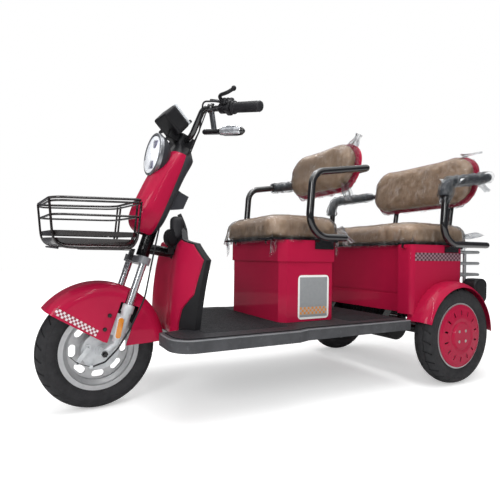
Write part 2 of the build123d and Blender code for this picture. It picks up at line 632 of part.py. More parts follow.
# ================================================================ handlebar
def bar_points():
    left = [fork(back, -out, up) for back, out, up in (BAR_END, BAR_SHOULDER, BAR_RISE, BAR_CLAMP)]
    right = [Vector(point.X, -point.Y, point.Z) for point in reversed(left)]
    return left + right


def bar_clamp():
    """Clamp on the stem's top, with the trim that closes the cowl round it."""
    middle = (CLAMP_FRONT + CLAMP_BACK) / 2
    depth = CLAMP_BACK - CLAMP_FRONT
    low = COWL_UP[-1] + SEAT_GAP
    shoulder = STEM_TOP - 8
    foot = FORK * Pos((COWL_FRONT[-1] + COWL_BACK[-1]) / 2, 0, low) * RectangleRounded(
        COWL_BACK[-1] - COWL_FRONT[-1] - 4, 2 * COWL_HALF[-1] - 4, 34)
    neck = FORK * Pos(middle, 0, shoulder) * RectangleRounded(depth, 2 * CLAMP_HALF_WIDTH, 12)
    top = FORK * Pos(middle, 0, CLAMP_TOP) * RectangleRounded(depth, 2 * CLAMP_HALF_WIDTH, 12)
    shape = loft([foot, neck]) + loft([neck, top])
    shape -= rod([fork(BAR_CLAMP[0], -60, BAR_CLAMP[2]), fork(BAR_CLAMP[0], 60, BAR_CLAMP[2])],
                 BAR_RADIUS + SEAT_GAP)
    shape -= pipe_along(FORK, STEM_RADIUS + SEAT_GAP, CROWN_BOTTOM, STEM_TOP + SEAT_GAP)
    holes = cable_hole(LEVER_CABLE, CABLE_RADIUS) + cable_hole(SWITCH_CABLE, SWITCH_CABLE_RADIUS)
    return shape - lamp_opening() - pair(holes)


def along_grip(distance):
    """A plane across the left grip, this far in from the bar's end."""
    end = fork(BAR_END[0], -BAR_END[1], BAR_END[2])
    shoulder = fork(BAR_SHOULDER[0], -BAR_SHOULDER[1], BAR_SHOULDER[2])
    inward = (shoulder - end).normalized()
    return Plane(origin=end + inward * distance, x_dir=STEER_BACK, z_dir=inward)


def grip():
    shape = pipe_along(along_grip(0), GRIP_RADIUS, -3, GRIP_LENGTH)
    shape += pipe_along(along_grip(0), GRIP_RADIUS + 5, GRIP_LENGTH - 8, GRIP_LENGTH)
    return shape - pipe_along(along_grip(0), BAR_RADIUS + SEAT_GAP, -SEAT_GAP, GRIP_LENGTH + 1)


def hand_control():
    """Left switch block with its mirror boss, lever perch and lever."""
    plane = along_grip(GRIP_LENGTH + CONTROL_INSET)
    block = plane * extrude(RectangleRounded(44, 38, 12), CONTROL_HALF_WIDTH, both=True)
    pivot = plane.origin - STEER_BACK * 24 + STEER_UP * 8
    perch = Plane(origin=pivot, x_dir=STEER_BACK, z_dir=STEER_UP)
    block += pipe_along(perch, 9, -10, 10)
    knee = fork(-16, -BAR_SHOULDER[1] - 46, BAR_SHOULDER[2] + 14)
    tip = fork(24, -BAR_END[1] + 44, BAR_END[2] + 26)
    lever = rod([pivot, knee, tip], LEVER_RADIUS, 12) + Pos(*tip) * Sphere(LEVER_RADIUS + 3)
    boss = Plane(origin=plane.origin + STEER_UP * 14, x_dir=STEER_BACK, z_dir=STEER_UP)
    block += pipe_along(boss, MIRROR_THREAD_RADIUS + 4, 0, MIRROR_BOSS)
    block -= pipe_along(boss, MIRROR_THREAD_RADIUS, MIRROR_BOSS - MIRROR_THREAD_DEPTH, MIRROR_BOSS + 1)
    shape = block + lever - pipe_along(plane, BAR_RADIUS + SEAT_GAP, -30, 30)
    shape -= rod(fork_path(LEVER_CABLE[:2]), CABLE_RADIUS + CABLE_HOLE)
    return shape - rod(fork_path(SWITCH_CABLE[:2]), SWITCH_CABLE_RADIUS + CABLE_HOLE)


def indicator():
    """Left turn lamp: a clamp round the bar, a stem and the long housing."""
    rise = fork(BAR_RISE[0], -BAR_RISE[1], BAR_RISE[2])
    shoulder = fork(BAR_SHOULDER[0], -BAR_SHOULDER[1], BAR_SHOULDER[2])
    along = (shoulder - rise).normalized()
    clamp = Plane(origin=rise + along * INDICATOR_STATION, x_dir=STEER_BACK, z_dir=along)
    inner = fork(34, -112, 855)
    outer = fork(98, -262, 853)
    stem = rod([clamp.origin, inner + (outer - inner) * 0.25], 7)
    housing = rod([inner, outer], INDICATOR_RADIUS)
    housing += Pos(*inner) * Sphere(INDICATOR_RADIUS) + Pos(*outer) * Sphere(INDICATOR_RADIUS)
    shape = pipe_along(clamp, BAR_RADIUS + 6, -7, 7) + stem + housing
    return shape - pipe_along(clamp, BAR_RADIUS + SEAT_GAP, -20, 20)


# ================================================================ cables
def fork_path(points):
    """Points given as back, out and up, on the left side."""
    return [fork(back, -out, up) for back, out, up in points]


def cable_hole(points, radius):
    """What a cable's last straight run takes out of the piece that it enters."""
    return rod(fork_path(points[-2:]), radius + CABLE_HOLE)


def control_cables():
    """Left lever's cable and switch cable, from the bar down into the clamp's collar."""
    lever = rod(fork_path(LEVER_CABLE), CABLE_RADIUS, list(LEVER_CABLE_BENDS))
    switch = rod(fork_path(SWITCH_CABLE), SWITCH_CABLE_RADIUS, list(SWITCH_CABLE_BENDS))
    return lever + switch


def brake_cable():
    """Front brake cable from the cowl down the left leg, with its wire and pin at the cam lever."""
    cable = rod(fork_path(BRAKE_CABLE), CABLE_RADIUS, list(BRAKE_CABLE_BENDS))
    wire = rod(fork_path(BRAKE_WIRE), WIRE_RADIUS, 20)
    pin = Pos(BRAKE_ARM, 0, BRAKE_PIN_LENGTH / 2) * Cylinder(BRAKE_PIN_RADIUS, BRAKE_PIN_LENGTH)
    return cable + wire + FRONT_HUB * LEFT_HAND * brake_arm_place() * pin


# ================================================================ basket
def basket_point(along, across, share):
    """A point on the basket's wall: along and across from 0 to 1, and up from the floor (0) to the rim (1)."""
    grow = BASKET_TAPER * (1 - share)
    front = behind(BASKET_FRONT) + grow
    rear = behind(BASKET_FRONT) + BASKET_LENGTH - 2 * grow
    half = BASKET_HALF_WIDTH - grow
    height = BASKET_BOTTOM_Z + share * (BASKET_TOP_Z - BASKET_BOTTOM_Z + BASKET_RISE * along)
    return Vector(front + (rear - front) * along, half * (2 * across - 1), height)


def basket_ring(share, wire):
    """One hoop of the basket."""
    corners = [basket_point(along, across, share) for along, across in ((0, 0), (1, 0), (1, 1), (0, 1))]
    path = FilletPolyline(*corners, radius=BASKET_CORNER, close=True)
    return sweep(Plane(origin=path @ 0, z_dir=path % 0) * RegularPolygon(wire, WIRE_SIDES), path=path)


def basket_stays():
    """Foot and head of each upright wire; they stand in pairs all round."""
    stays = []
    for step in range(BASKET_PAIRS):
        middle = (step + 1.0) / (BASKET_PAIRS + 1.0)
        for share in (middle - BASKET_PAIR_GAP, middle + BASKET_PAIR_GAP):
            for wall in ((share, 0), (share, 1), (0, share), (1, share)):
                stays.append((basket_point(*wall, 0), basket_point(*wall, 1)))
    return stays


def basket():
    """Wire basket on its floor pan, with the flat bar that carries it."""
    front = behind(BASKET_FRONT) + BASKET_TAPER
    rear = behind(BASKET_FRONT) + BASKET_LENGTH - 2 * BASKET_TAPER
    half = BASKET_HALF_WIDTH - BASKET_TAPER
    shape = slab(front, rear, -half, half, BASKET_BOTTOM_Z - BASKET_WIRE, BASKET_BOTTOM_Z + BASKET_WIRE)
    for step in range(BASKET_HOOPS):
        share = step / (BASKET_HOOPS - 1)
        shape += basket_ring(share, BASKET_RIM if share == 1 else BASKET_WIRE)
    for start, end in basket_stays():
        foot = Plane(origin=start, z_dir=end - start)
        shape += foot * extrude(RegularPolygon(BASKET_STAY, WIRE_SIDES), (end - start).length)
    under = BASKET_BOTTOM_Z - BASKET_WIRE
    face = LEG_X / 2 - CROWN_DEPTH / 2 - SEAT_GAP
    corners = [fork(face, 0, CROWN_TOP + 2), fork(face, 0, CROWN_BOTTOM + 2),
               fork(face - BRACKET_WALL, 0, CROWN_BOTTOM + 2), fork(face - BRACKET_WALL, 0, CROWN_TOP)]
    seat = [(corner.X, corner.Z) for corner in corners]
    strip = Polyline((front + 40, under), (rear + 6, under), *seat, (rear + 3, under - BRACKET_WALL),
                     (front + 40, under - BRACKET_WALL), close=True)
    return shape + extrude(Plane.XZ * make_face(strip), BRACKET_HALF_WIDTH, both=True)


# ================================================================ frame
def down_tube(radius):
    """The main tube from the steering head to the floor."""
    low = FRAME_TOP_Z - FRAME_RAIL
    return rod([fork(HEAD_RADIUS / 2, 0, DOWN_TUBE_JOIN), Vector(behind(DOWN_TUBE_X), 0, DOWN_TUBE_BEND_Z),
                Vector(behind(DOWN_TUBE_X), 0, low)], radius, 50)


def head_frame():
    shape = pipe_along(FORK, HEAD_RADIUS, HEAD_BOTTOM, HEAD_TOP) + down_tube(DOWN_TUBE_RADIUS)
    return shape - pipe_along(FORK, STEM_RADIUS + RUNNING_GAP, HEAD_BOTTOM - 30, HEAD_TOP + 1)


def floor_frame():
    """Side rails that rise under the rear body, with their cross members."""
    low = FRAME_TOP_Z - FRAME_RAIL
    front = behind(DOWN_TUBE_X) - DOWN_TUBE_RADIUS - 20
    kick = REAR_AXLE_X - BODY_FRONT - 10
    rear = REAR_AXLE_X + REAR_SEAT_REAR
    high = BODY_FLOOR_Z - SEAT_GAP
    side = Polyline((front, low), (kick + 20, low), (kick + 60, high - FRAME_RAIL), (rear, high - FRAME_RAIL),
                    (rear, high), (kick + 45, high), (kick, FRAME_TOP_Z), (front, FRAME_TOP_Z), close=True)
    rail = extrude(Plane.XZ * make_face(side), FRAME_RAIL / 2, both=True)
    shape = pair(Pos(0, -FRAME_HALF_WIDTH, 0) * rail)
    plate_low = FLOOR_TOP_Z - PANEL_WALL - SEAT_GAP
    for station in (front + 20, behind(BOX_FRONT), behind(BOX_REAR)):
        shape += slab(station - 20, station + 20, -FRAME_HALF_WIDTH, FRAME_HALF_WIDTH, low, FRAME_TOP_Z)
        shape += slab(station - 12, station + 12, -FRAME_PAD_Y, FRAME_PAD_Y, low, plate_low)
    for station in (kick + 80, rear - 20):
        shape += slab(station - 15, station + 15, -FRAME_HALF_WIDTH, FRAME_HALF_WIDTH, high - FRAME_RAIL, high)
    return shape - down_tube(DOWN_TUBE_RADIUS + SEAT_GAP)


# ================================================================ floor
def floor_outline(inset):
    front = behind(FLOOR_FRONT) + inset
    step = behind(FLOOR_STEP)
    rear = REAR_AXLE_X - BODY_FRONT - 12 - inset
    wide = FLOOR_HALF_WIDTH - inset
    narrow = FLOOR_REAR_HALF_WIDTH - inset
    notch = behind(SHIELD_CENTRE[0]) + 12 + inset
    notch_half = FLOOR_NOTCH_HALF_WIDTH + inset
    half = [(notch, 0), (notch, notch_half), (front, notch_half + 24), (front, wide), (step - 25, wide),
            (step + 25, narrow), (rear, narrow), (rear, 0)]
    side = make_face(Polyline(*half, close=True))
    corner = side.vertices().sort_by_distance((front, wide))[0]
    side = fillet(corner, FLOOR_CORNER - inset)
    return side + mirror(side, about=Plane.XZ)


def floor_tray():
    low = FLOOR_TOP_Z - FLOOR_RIM
    tray = Pos(0, 0, low) * extrude(floor_outline(0), FLOOR_RIM)
    tray -= Pos(0, 0, low - PANEL_WALL) * extrude(floor_outline(PANEL_WALL), FLOOR_RIM)
    return tray - down_tube(DOWN_TUBE_RADIUS + 2)


def floor_mat():
    mat = Pos(0, 0, FLOOR_TOP_Z + SEAT_GAP) * extrude(floor_outline(MAT_INSET), MAT_THICKNESS)
    return mat - down_tube(DOWN_TUBE_RADIUS + 2)


# ================================================================ leg shield
def shield_x(level, out):
    """The shield's front face at one level, behind the front axle: hollow in the middle, swept at the edge."""
    centre = SHIELD_CENTRE[level]
    ridge = SHIELD_RIDGE[level]
    edge = SHIELD_EDGE[level]
    reach = abs(out)
    if reach <= SHIELD_RIDGE_Y:
        share = (1 - cos(pi * reach / SHIELD_RIDGE_Y)) / 2
        return centre + (ridge - centre) * share
    share = (reach - SHIELD_RIDGE_Y) / (SHIELD_EDGE_Y - SHIELD_RIDGE_Y)
    return ridge + (edge - ridge) * share ** 1.7


def curtain(front_depth, back_depth):
    """A skin between two depths behind the shield's front face."""
    edge = SHIELD_EDGE_Y + 5
    stations = [edge * step / 6 for step in range(-6, 7)]
    sections = []
    for level, height in enumerate(SHIELD_LEVELS):
        front = [(behind(shield_x(level, out) + front_depth), out) for out in stations]
        back = [(behind(shield_x(level, out) + back_depth(out)), out) for out in reversed(stations)]
        outline = Spline(*front) + Line(front[-1], back[0]) + Spline(*back) + Line(back[-1], front[0])
        sections.append(Pos(0, 0, height) * make_face(outline))
    return loft(sections)


def front_view(half):
    """A prism through the shield, from half of its outline seen from ahead."""
    face = make_face(Polyline(*half, close=True))
    face += mirror(face, about=Plane.YZ)
    return extrude(Plane(origin=(behind(150), 0, 0), x_dir=(0, 1, 0), z_dir=(1, 0, 0)) * face, 300)


def leg_shield():
    half = [(0, 250), (150, 250), (150, 300), (160, 350), (192, 402), (201, 520), (165, 574), (100, 590),
            (62, 575), (30, 542), (0, 540)]
    skin = curtain(0, lambda out: SHIELD_WALL) & front_view(half)
    return skin - down_tube(DOWN_TUBE_RADIUS + 2)


def tunnel_depth(out):
    """Thickness of the inner panel, swelling over the down tube."""
    reach = min(abs(out) / TUNNEL_HALF_WIDTH, 1.0)
    return SHIELD_WALL + PANEL_THICKNESS + TUNNEL_DEPTH * (1 + cos(pi * reach)) / 2


def inner_panel():
    low = MAT_TOP_Z + SEAT_GAP
    half = [(0, low), (206, low), (206, 520), (168, 578), (102, 594), (56, 640), (0, 655)]
    panel = curtain(SHIELD_WALL + SEAT_GAP, tunnel_depth) & front_view(half)
    neck = Polyline((behind(345), 548), (behind(288), 660), (behind(500), 660), (behind(500), 548), close=True)
    panel -= extrude(Plane.XZ * make_face(neck), TUNNEL_HALF_WIDTH + 200, both=True)
    return panel - down_tube(DOWN_TUBE_RADIUS + SEAT_GAP)


def horn():
    """Round horn on a bracket from the down tube."""
    face = Plane(origin=(behind(250), -62, 600), x_dir=(0.92, 0.39, 0), z_dir=(0.39, -0.92, 0))
    disc = pipe_along(face, HORN_RADIUS, -8, 4) + pipe_along(face, HORN_RADIUS - 8, -16, 8)
    foot = slab(behind(240), behind(262), -54, -DOWN_TUBE_RADIUS - SEAT_GAP, 540, 546)
    leg = slab(behind(240), behind(262), -58, -54, 540, 600)
    return disc + foot + leg - down_tube(DOWN_TUBE_RADIUS + SEAT_GAP)


# ================================================================ seats
def box_walls(inset, low, high):
    wide = BOX_HALF_WIDTH - inset
    shape = slab(behind(BOX_FRONT) + inset, behind(BOX_REAR) - inset, -wide, wide, low, high)
    return chamfer(shape.edges().filter_by(Axis.Z), BOX_CHAMFER - inset * 0.5)


def hinge_pin(face_x, rim_z, out):
    """The hinge's axis: its place ahead of the face that carries it, under the rim."""
    return Pos(face_x - HINGE_REACH, out, rim_z - HINGE_DROP) * Rot(90, 0, 0)


def hinge_fork(face_x, rim_z, out):
    """Pin and its two cheeks on the face."""
    cheek = Cylinder(HINGE_EYE_RADIUS, 4) + Pos(HINGE_REACH / 2, 0, 0) * Box(HINGE_REACH, 2 * HINGE_EYE_RADIUS, 4)
    middle = HINGE_EYE_WIDTH / 2 + SEAT_GAP + 2
    shape = Cylinder(HINGE_PIN_RADIUS, 2 * middle + 4)
    shape += Pos(0, 0, middle) * cheek + Pos(0, 0, -middle) * cheek
    return hinge_pin(face_x, rim_z, out) * shape


def hinge_eye(face_x, rim_z, out, base_x):
    """The lid's eye round the pin, on a tongue of its base."""
    eye = hinge_pin(face_x, rim_z, out) * Cylinder(HINGE_EYE_RADIUS, HINGE_EYE_WIDTH)
    pin_x = face_x - HINGE_REACH
    low = rim_z + SEAT_GAP
    half = HINGE_EYE_WIDTH / 2
    web = slab(pin_x - HINGE_EYE_RADIUS, pin_x + 2, out - half, out + half, rim_z - HINGE_DROP, low + SEAT_BASE)
    tongue = slab(pin_x - HINGE_EYE_RADIUS, max(base_x, pin_x) + 2, out - half, out + half, low, low + SEAT_BASE)
    return eye + web + tongue - hinge_pin(face_x, rim_z, out) * Cylinder(HINGE_PIN_RADIUS + RUNNING_GAP, 40)


def seat_box():
    """Open-topped box with a step under its rim and the hinge cheeks of its lid."""
    low = MAT_TOP_Z + SEAT_GAP
    box = box_walls(BOX_STEP, low, BOX_STEP_Z) + box_walls(0, BOX_STEP_Z, BOX_TOP_Z)
    box -= box_walls(BOX_STEP + PANEL_WALL, low + PANEL_WALL, BOX_TOP_Z + 1)
    return box + pair(hinge_fork(behind(BOX_FRONT), BOX_TOP_Z, -FRONT_HINGE_Y))


def seat_base(front, rear, half_width, rim_z):
    low = rim_z + SEAT_GAP
    return slab(front + 14, rear - 14, -half_width + 14, half_width - 14, low, low + SEAT_BASE)


def cushion(front, rear, half_width, rim_z, height):
    low = rim_z + SEAT_GAP + SEAT_BASE + SEAT_GAP
    shape = slab(front, rear, -half_width, half_width, low, low + height)
    shape = fillet(shape.edges().filter_by(Axis.Z), CUSHION_CORNER)
    return fillet(shape.faces().sort_by(Axis.Z)[-1].edges(), CUSHION_ROUND)


def back_place(front, low):
    return Pos(front, 0, low) * Rot(0, BACK_LEAN, 0)


def back_pad(front, low, high, half_width):
    pad = slab(0, BACK_PAD, -half_width, half_width, 0, high - low)
    pad = fillet(pad.edges().filter_by(Axis.X), BACK_CORNER)
    pad = fillet(pad.faces().sort_by(Axis.X)[0].edges(), PAD_ROUND)
    return back_place(front, low) * pad


def back_shell(front, low, high, half_width):
    face = BACK_PAD + SEAT_GAP
    shell = slab(face, face + BACK_SHELL, -half_width, half_width, 0, high - low)
    return back_place(front, low) * fillet(shell.edges().filter_by(Axis.X), BACK_CORNER)


def behind_shell(front, low, height, radius):
    """Where a cross tube of this radius seats against the leaning shell."""
    lean = radians(BACK_LEAN)
    return front + (BACK_PAD + BACK_SHELL + 2 * SEAT_GAP + radius) / cos(lean) + (height - low) * tan(lean)


def arm_loop(foot, knee, elbow, cross, out, back_bend):
    """A tube from the left foot over the armrest, behind the back, and down to the right foot."""
    left = [Vector(x, -out, z) for x, z in (foot, knee, elbow, cross)]
    right = [Vector(point.X, out, point.Z) for point in reversed(left)]
    return rod(left + right, ARM_TUBE_RADIUS, [86, 60, back_bend, back_bend, 60, 86])


def arm_bracket(front, rear, wall_y, out, tube_z, drop):
    """Angle plate between a side wall and the tube's foot."""
    web = slab(front, rear, -out, -wall_y - SEAT_GAP, tube_z - ARM_TUBE_RADIUS - 5, tube_z - ARM_TUBE_RADIUS + 4)
    plate = slab(front, rear, -wall_y - SEAT_GAP - 5, -wall_y - SEAT_GAP, drop, tube_z - ARM_TUBE_RADIUS + 4)
    return web + plate


def front_arm_frame():
    cross_x = behind_shell(behind(FRONT_BACK_X), FRONT_BACK_Z[0], FRONT_ARM_CROSS_Z, ARM_TUBE_RADIUS)
    tube = arm_loop((behind(925), ARM_LOW_Z), (behind(738), ARM_LOW_Z), (behind(757), 858),
                    (cross_x, FRONT_ARM_CROSS_Z), FRONT_ARM_Y, FRONT_ARM_Y - BACK_HALF_WIDTH - 4)
    bracket = arm_bracket(behind(795), behind(888), BOX_HALF_WIDTH, FRONT_ARM_Y, ARM_LOW_Z, 566)
    return tube + pair(bracket)


# ================================================================ rear body
def rear_body():
    """Open-topped box between the rear wheels, with a pillar each side of its recessed front."""
    front = REAR_AXLE_X - BODY_FRONT
    panel = REAR_AXLE_X - BODY_PANEL
    rear = REAR_AXLE_X + BODY_REAR
    wide = BODY_HALF_WIDTH
    pillar = BODY_HALF_WIDTH - BODY_PILLAR
    body = slab(front, rear, -wide, wide, BODY_BOTTOM_Z, BODY_TOP_Z)
    body = fillet(body.edges().filter_by(Axis.Z).group_by(Axis.X)[0], 20)
    body -= slab(front - 1, panel, -pillar, pillar, 0, 1000)
    body -= slab(panel + PANEL_WALL, rear - PANEL_WALL, -wide + PANEL_WALL, wide - PANEL_WALL,
                 BODY_FLOOR_Z + PANEL_WALL, 1000)
    body -= slab(front - 1, rear + 1, -wide + PANEL_WALL, wide - PANEL_WALL, 0, BODY_FLOOR_Z)
    body -= slab(panel - 1, panel + 2, -pillar - 1, pillar + 1, 374, 384)
    arch = Pos(REAR_AXLE_X, 0, AXLE_Z) * Rot(90, 0, 0) * Cylinder(FENDER_RADIUS + SEAT_GAP, 2 * wide + 10)
    inner = FENDER_INNER_Y - SEAT_GAP
    arch -= slab(REAR_AXLE_X - 400, REAR_AXLE_X + 400, -inner, inner, -100, 700)
    return body - arch + pair(hinge_fork(front, BODY_TOP_Z, -REAR_HINGE_Y))


def fender_crown(inner, grow):
    """Section line over the left rear fender: level from this Y, then rolled down to the lip."""
    top = FENDER_RADIUS + grow
    level = (top, -FENDER_INNER_Y - FENDER_FLAT)
    lip = (FENDER_RADIUS - FENDER_DROP, -FENDER_OUTER_Y - grow)
    return Line((top, inner), level) + TangentArc(level, lip, tangent=(0, -1))


def rear_fender():
    """Crowned arch over the left rear wheel, with its inner wall."""
    outside = -FENDER_INNER_Y
    inside = outside - FENDER_WALL
    lip = FENDER_RADIUS - FENDER_DROP
    profile = fender_crown(outside, 0) + fender_crown(inside, -FENDER_WALL)
    profile += Line((lip, -FENDER_OUTER_Y), (lip, -FENDER_OUTER_Y + FENDER_WALL))
    profile += Polyline((FENDER_RADIUS - FENDER_WALL, inside), (FENDER_FOOT, inside),
                        (FENDER_FOOT, outside), (FENDER_RADIUS, outside))
    arch = revolve(Plane.XY * make_face(profile), Axis((0, 0, 0), (0, -1, 0)),
                   FENDER_FRONT_ANGLE - FENDER_REAR_ANGLE)
    return Pos(REAR_AXLE_X, 0, AXLE_Z) * Rot(0, -FENDER_REAR_ANGLE, 0) * arch


def tail_lamp():
    """Long rounded housing on top of the left fender, behind the body."""
    front = REAR_AXLE_X + BODY_REAR + 2
    outer = -FENDER_OUTER_Y + TAIL_LAMP_EDGE
    shape = slab(front, front + TAIL_LAMP_LENGTH, outer, outer + TAIL_LAMP_WIDTH, *TAIL_LAMP_Z)
    shape = fillet(shape.edges().filter_by(Axis.Y), 30)
    shape = fillet(shape.faces().sort_by(Axis.Z)[-1].edges(), 12)
    seat = fender_crown(-FENDER_INNER_Y, SEAT_GAP)
    seat += Polyline((FENDER_RADIUS - FENDER_DROP, -FENDER_OUTER_Y - SEAT_GAP), (0, -FENDER_OUTER_Y - SEAT_GAP),
                     (0, -FENDER_INNER_Y), (FENDER_RADIUS + SEAT_GAP, -FENDER_INNER_Y))
    below = revolve(Plane.XY * make_face(seat), Axis((0, 0, 0), (0, -1, 0)), 360)
    return shape - Pos(REAR_AXLE_X, 0, AXLE_Z) * below


# ================================================================ rear seat and rails
def rear_seat_frame():
    """Two tubes from the body's rear wall, each with a post up behind the backrest."""
    wall = REAR_AXLE_X + BODY_REAR + SEAT_GAP
    height = BODY_TOP_Z - POST_RADIUS
    top = REAR_BACK_Z[0] + 70
    seat_x = behind_shell(REAR_AXLE_X + REAR_BACK_X, REAR_BACK_Z[0], top, POST_RADIUS)
    knee_x = behind_shell(REAR_AXLE_X + REAR_BACK_X, REAR_BACK_Z[0], height, POST_RADIUS)
    tube = rod([Vector(wall, -POST_Y, height), Vector(knee_x, -POST_Y, height), Vector(seat_x, -POST_Y, top)],
               POST_RADIUS, 30)
    flange = slab(wall, wall + 4, -POST_Y - 25, -POST_Y + 25, height - 30, height + POST_RADIUS)
    return pair(tube + flange)


def rear_arm_frame():
    cross_x = behind_shell(REAR_AXLE_X + REAR_BACK_X, REAR_BACK_Z[0], REAR_ARM_CROSS_Z, ARM_TUBE_RADIUS)
    tube = arm_loop((REAR_AXLE_X + 246, REAR_ARM_LOW_Z), (REAR_AXLE_X - 66, REAR_ARM_LOW_Z),
                    (REAR_AXLE_X - 48, 858), (cross_x, REAR_ARM_CROSS_Z), REAR_ARM_Y,
                    REAR_ARM_Y - REAR_BACK_HALF_WIDTH - 4)
    bracket = arm_bracket(REAR_AXLE_X - 20, REAR_AXLE_X + 70, BODY_HALF_WIDTH, REAR_ARM_Y, REAR_ARM_LOW_Z, 560)
    return tube + pair(bracket)


def rear_rails():
    """Guard rails behind the body, between two posts on its rear corners."""
    start = REAR_AXLE_X + BODY_REAR + SEAT_GAP
    end = REAR_END_X - RAIL_RADIUS
    half = RAIL_HALF_WIDTH
    low = RAIL_HEIGHTS[-1]
    shape = pair(slab(start, start + 8, -half - 12, -half + 12, RAIL_HEIGHTS[-2] - 14, RAIL_HEIGHTS[0] + 14))
    shape += pair(rod([Vector(start + 55, -half, low), Vector(start + 55, -half, RAIL_HEIGHTS[0])], RAIL_RADIUS))
    for height in RAIL_HEIGHTS:
        head = start + 4 if height > low else start + 50
        shape += rod([Vector(head, -half, height), Vector(end, -half, height), Vector(end, half, height),
                      Vector(head, half, height)], RAIL_RADIUS, 60)
    bar = slab(end - 3, end + 3, -RAIL_BAR_Y - 12, -RAIL_BAR_Y + 12, RAIL_HEIGHTS[-1], RAIL_HEIGHTS[0])
    return shape + pair(bar)


# ================================================================ rear axle
def rear_axle():
    tube = Pos(REAR_AXLE_X, 0, AXLE_Z) * Rot(90, 0, 0) * Cylinder(AXLE_TUBE_RADIUS, 2 * AXLE_TUBE_HALF)
    stub = Pos(REAR_AXLE_X, 0, AXLE_Z) * Rot(90, 0, 0) * Cylinder(STUB_RADIUS, TRACK + 2 * (HUB_HALF_WIDTH - 6))
    return tube + stub


def drive_motor():
    motor = Pos(REAR_AXLE_X - 30, 0, AXLE_Z) * Rot(90, 0, 0) * Cylinder(MOTOR_RADIUS, 180)
    return motor - Pos(REAR_AXLE_X, 0, AXLE_Z) * Rot(90, 0, 0) * Cylinder(AXLE_TUBE_RADIUS + SEAT_GAP, 400)


def leaf_spring():
    """Left spring: three leaves on the axle, their ends curving up to the frame's pins."""
    low = AXLE_Z + AXLE_TUBE_RADIUS + SEAT_GAP
    shape = None
    for leaf in range(3):
        half = SPRING_HALF_LENGTH - 55 * leaf
        outer = SPRING_RADIUS - SPRING_LEAF * (2 - leaf) + SPRING_LEAF
        centre_z = low + SPRING_RADIUS + SPRING_LEAF
        arc = Cylinder(outer, SPRING_WIDTH) - Cylinder(outer - SPRING_LEAF, SPRING_WIDTH)
        arc = Pos(REAR_AXLE_X, -SPRING_Y, centre_z) * Rot(90, 0, 0) * arc
        arc &= slab(REAR_AXLE_X - half, REAR_AXLE_X + half, -SPRING_Y - 40, -SPRING_Y + 40, 0, centre_z)
        shape = arc if shape is None else shape + arc
    rise = SPRING_HALF_LENGTH ** 2 / (2 * SPRING_RADIUS)
    pin_reach = SPRING_Y - FRAME_HALF_WIDTH - FRAME_RAIL / 2 - SEAT_GAP
    for side in (-1, 1):
        eye = Pos(REAR_AXLE_X + side * SPRING_HALF_LENGTH, -SPRING_Y, low + 3 * SPRING_LEAF + rise) * Rot(90, 0, 0)
        shape += eye * Cylinder(11, SPRING_WIDTH)
        shape += eye * Pos(0, 0, -pin_reach / 2) * Cylinder(6, pin_reach)
    return shape + slab(REAR_AXLE_X - 28, REAR_AXLE_X + 28, -SPRING_Y - 26, -SPRING_Y + 26,
                        low + 2 * SPRING_LEAF, low + 3 * SPRING_LEAF + 7)


def battery():
    """Traction battery on the seat box's floor."""
    low = MAT_TOP_Z + PANEL_WALL + 2 * SEAT_GAP
    return slab(behind(BOX_FRONT) + 24, behind(BOX_REAR) - 24, -170, 170, low, low + 175)


# ================================================================ assembly
for node, shape in (("tyre", tyre()), ("rim", front_rim())):
    save(f"front_{node}", steered(FRONT_HUB * LEFT_HAND * shape))
for node, shape in (("rear_tyre", tyre()), ("rear_rim", rear_rim()), ("wheel_cover", wheel_cover())):
    left = REAR_HUB * LEFT_HAND * shape
    save(f"{node}_left", left)
    save(f"{node}_right", mirrored(left))

save("fork_crown", steered(crown()))
save("fork_sliders", steered(pair(fork_slider())))
save("fork_stanchions", steered(pair(stanchion())))
save("front_axle", steered(front_axle()))
save("brake_plate", steered(brake_plate()))
save("front_mudguard", steered(mudguard()))
cowl = cowl_solid(0) - cowl_solid(COWL_WALL) - pipe_along(FORK, HEAD_RADIUS + 7, COWL_UP[0] - 40, HEAD_TOP + 8)
cowl -= cable_hole(BRAKE_CABLE, CABLE_RADIUS)
save("cowl_front", steered((cowl & seam_block(-1)) - lamp_opening()))
save("cowl_back", steered((cowl & seam_block(1)) + key_housing()))
save("headlamp_bucket", steered(lamp_bucket()))
save("headlamp_bezel", steered(lamp_bezel()))
save("headlamp_lens", steered(lamp_lens()))
save("meter", steered(meter()))
save("handlebar", steered(rod(bar_points(), BAR_RADIUS, list(reversed(BAR_BENDS)) + list(BAR_BENDS))))
save("bar_clamp", steered(bar_clamp()))
save("grips", steered(pair(grip())))
save("hand_controls", steered(pair(hand_control())))
save("indicators", steered(pair(indicator())))
save("basket", steered(basket()))
save("control_cables", steered(pair(control_cables())))
save("brake_cable", steered(brake_cable()))

save("head_frame", head_frame())
save("floor_frame", floor_frame())
save("floor_tray", floor_tray())
save("floor_mat", floor_mat())
save("leg_shield", leg_shield())
save("inner_panel", inner_panel())
save("horn", horn())

front_x = (behind(CUSHION_FRONT), behind(CUSHION_REAR))
save("seat_box", seat_box())
base = seat_base(*front_x, CUSHION_HALF_WIDTH, BOX_TOP_Z)
save("front_seat_base", base + pair(hinge_eye(behind(BOX_FRONT), BOX_TOP_Z, -FRONT_HINGE_Y, front_x[0] + 14)))
save("front_cushion", cushion(*front_x, CUSHION_HALF_WIDTH, BOX_TOP_Z, CUSHION_HEIGHT))
save("front_back_pad", back_pad(behind(FRONT_BACK_X), *FRONT_BACK_Z, BACK_HALF_WIDTH))
save("front_back_shell", back_shell(behind(FRONT_BACK_X), *FRONT_BACK_Z, BACK_HALF_WIDTH))
save("front_arm_frame", front_arm_frame())
save("battery", battery())

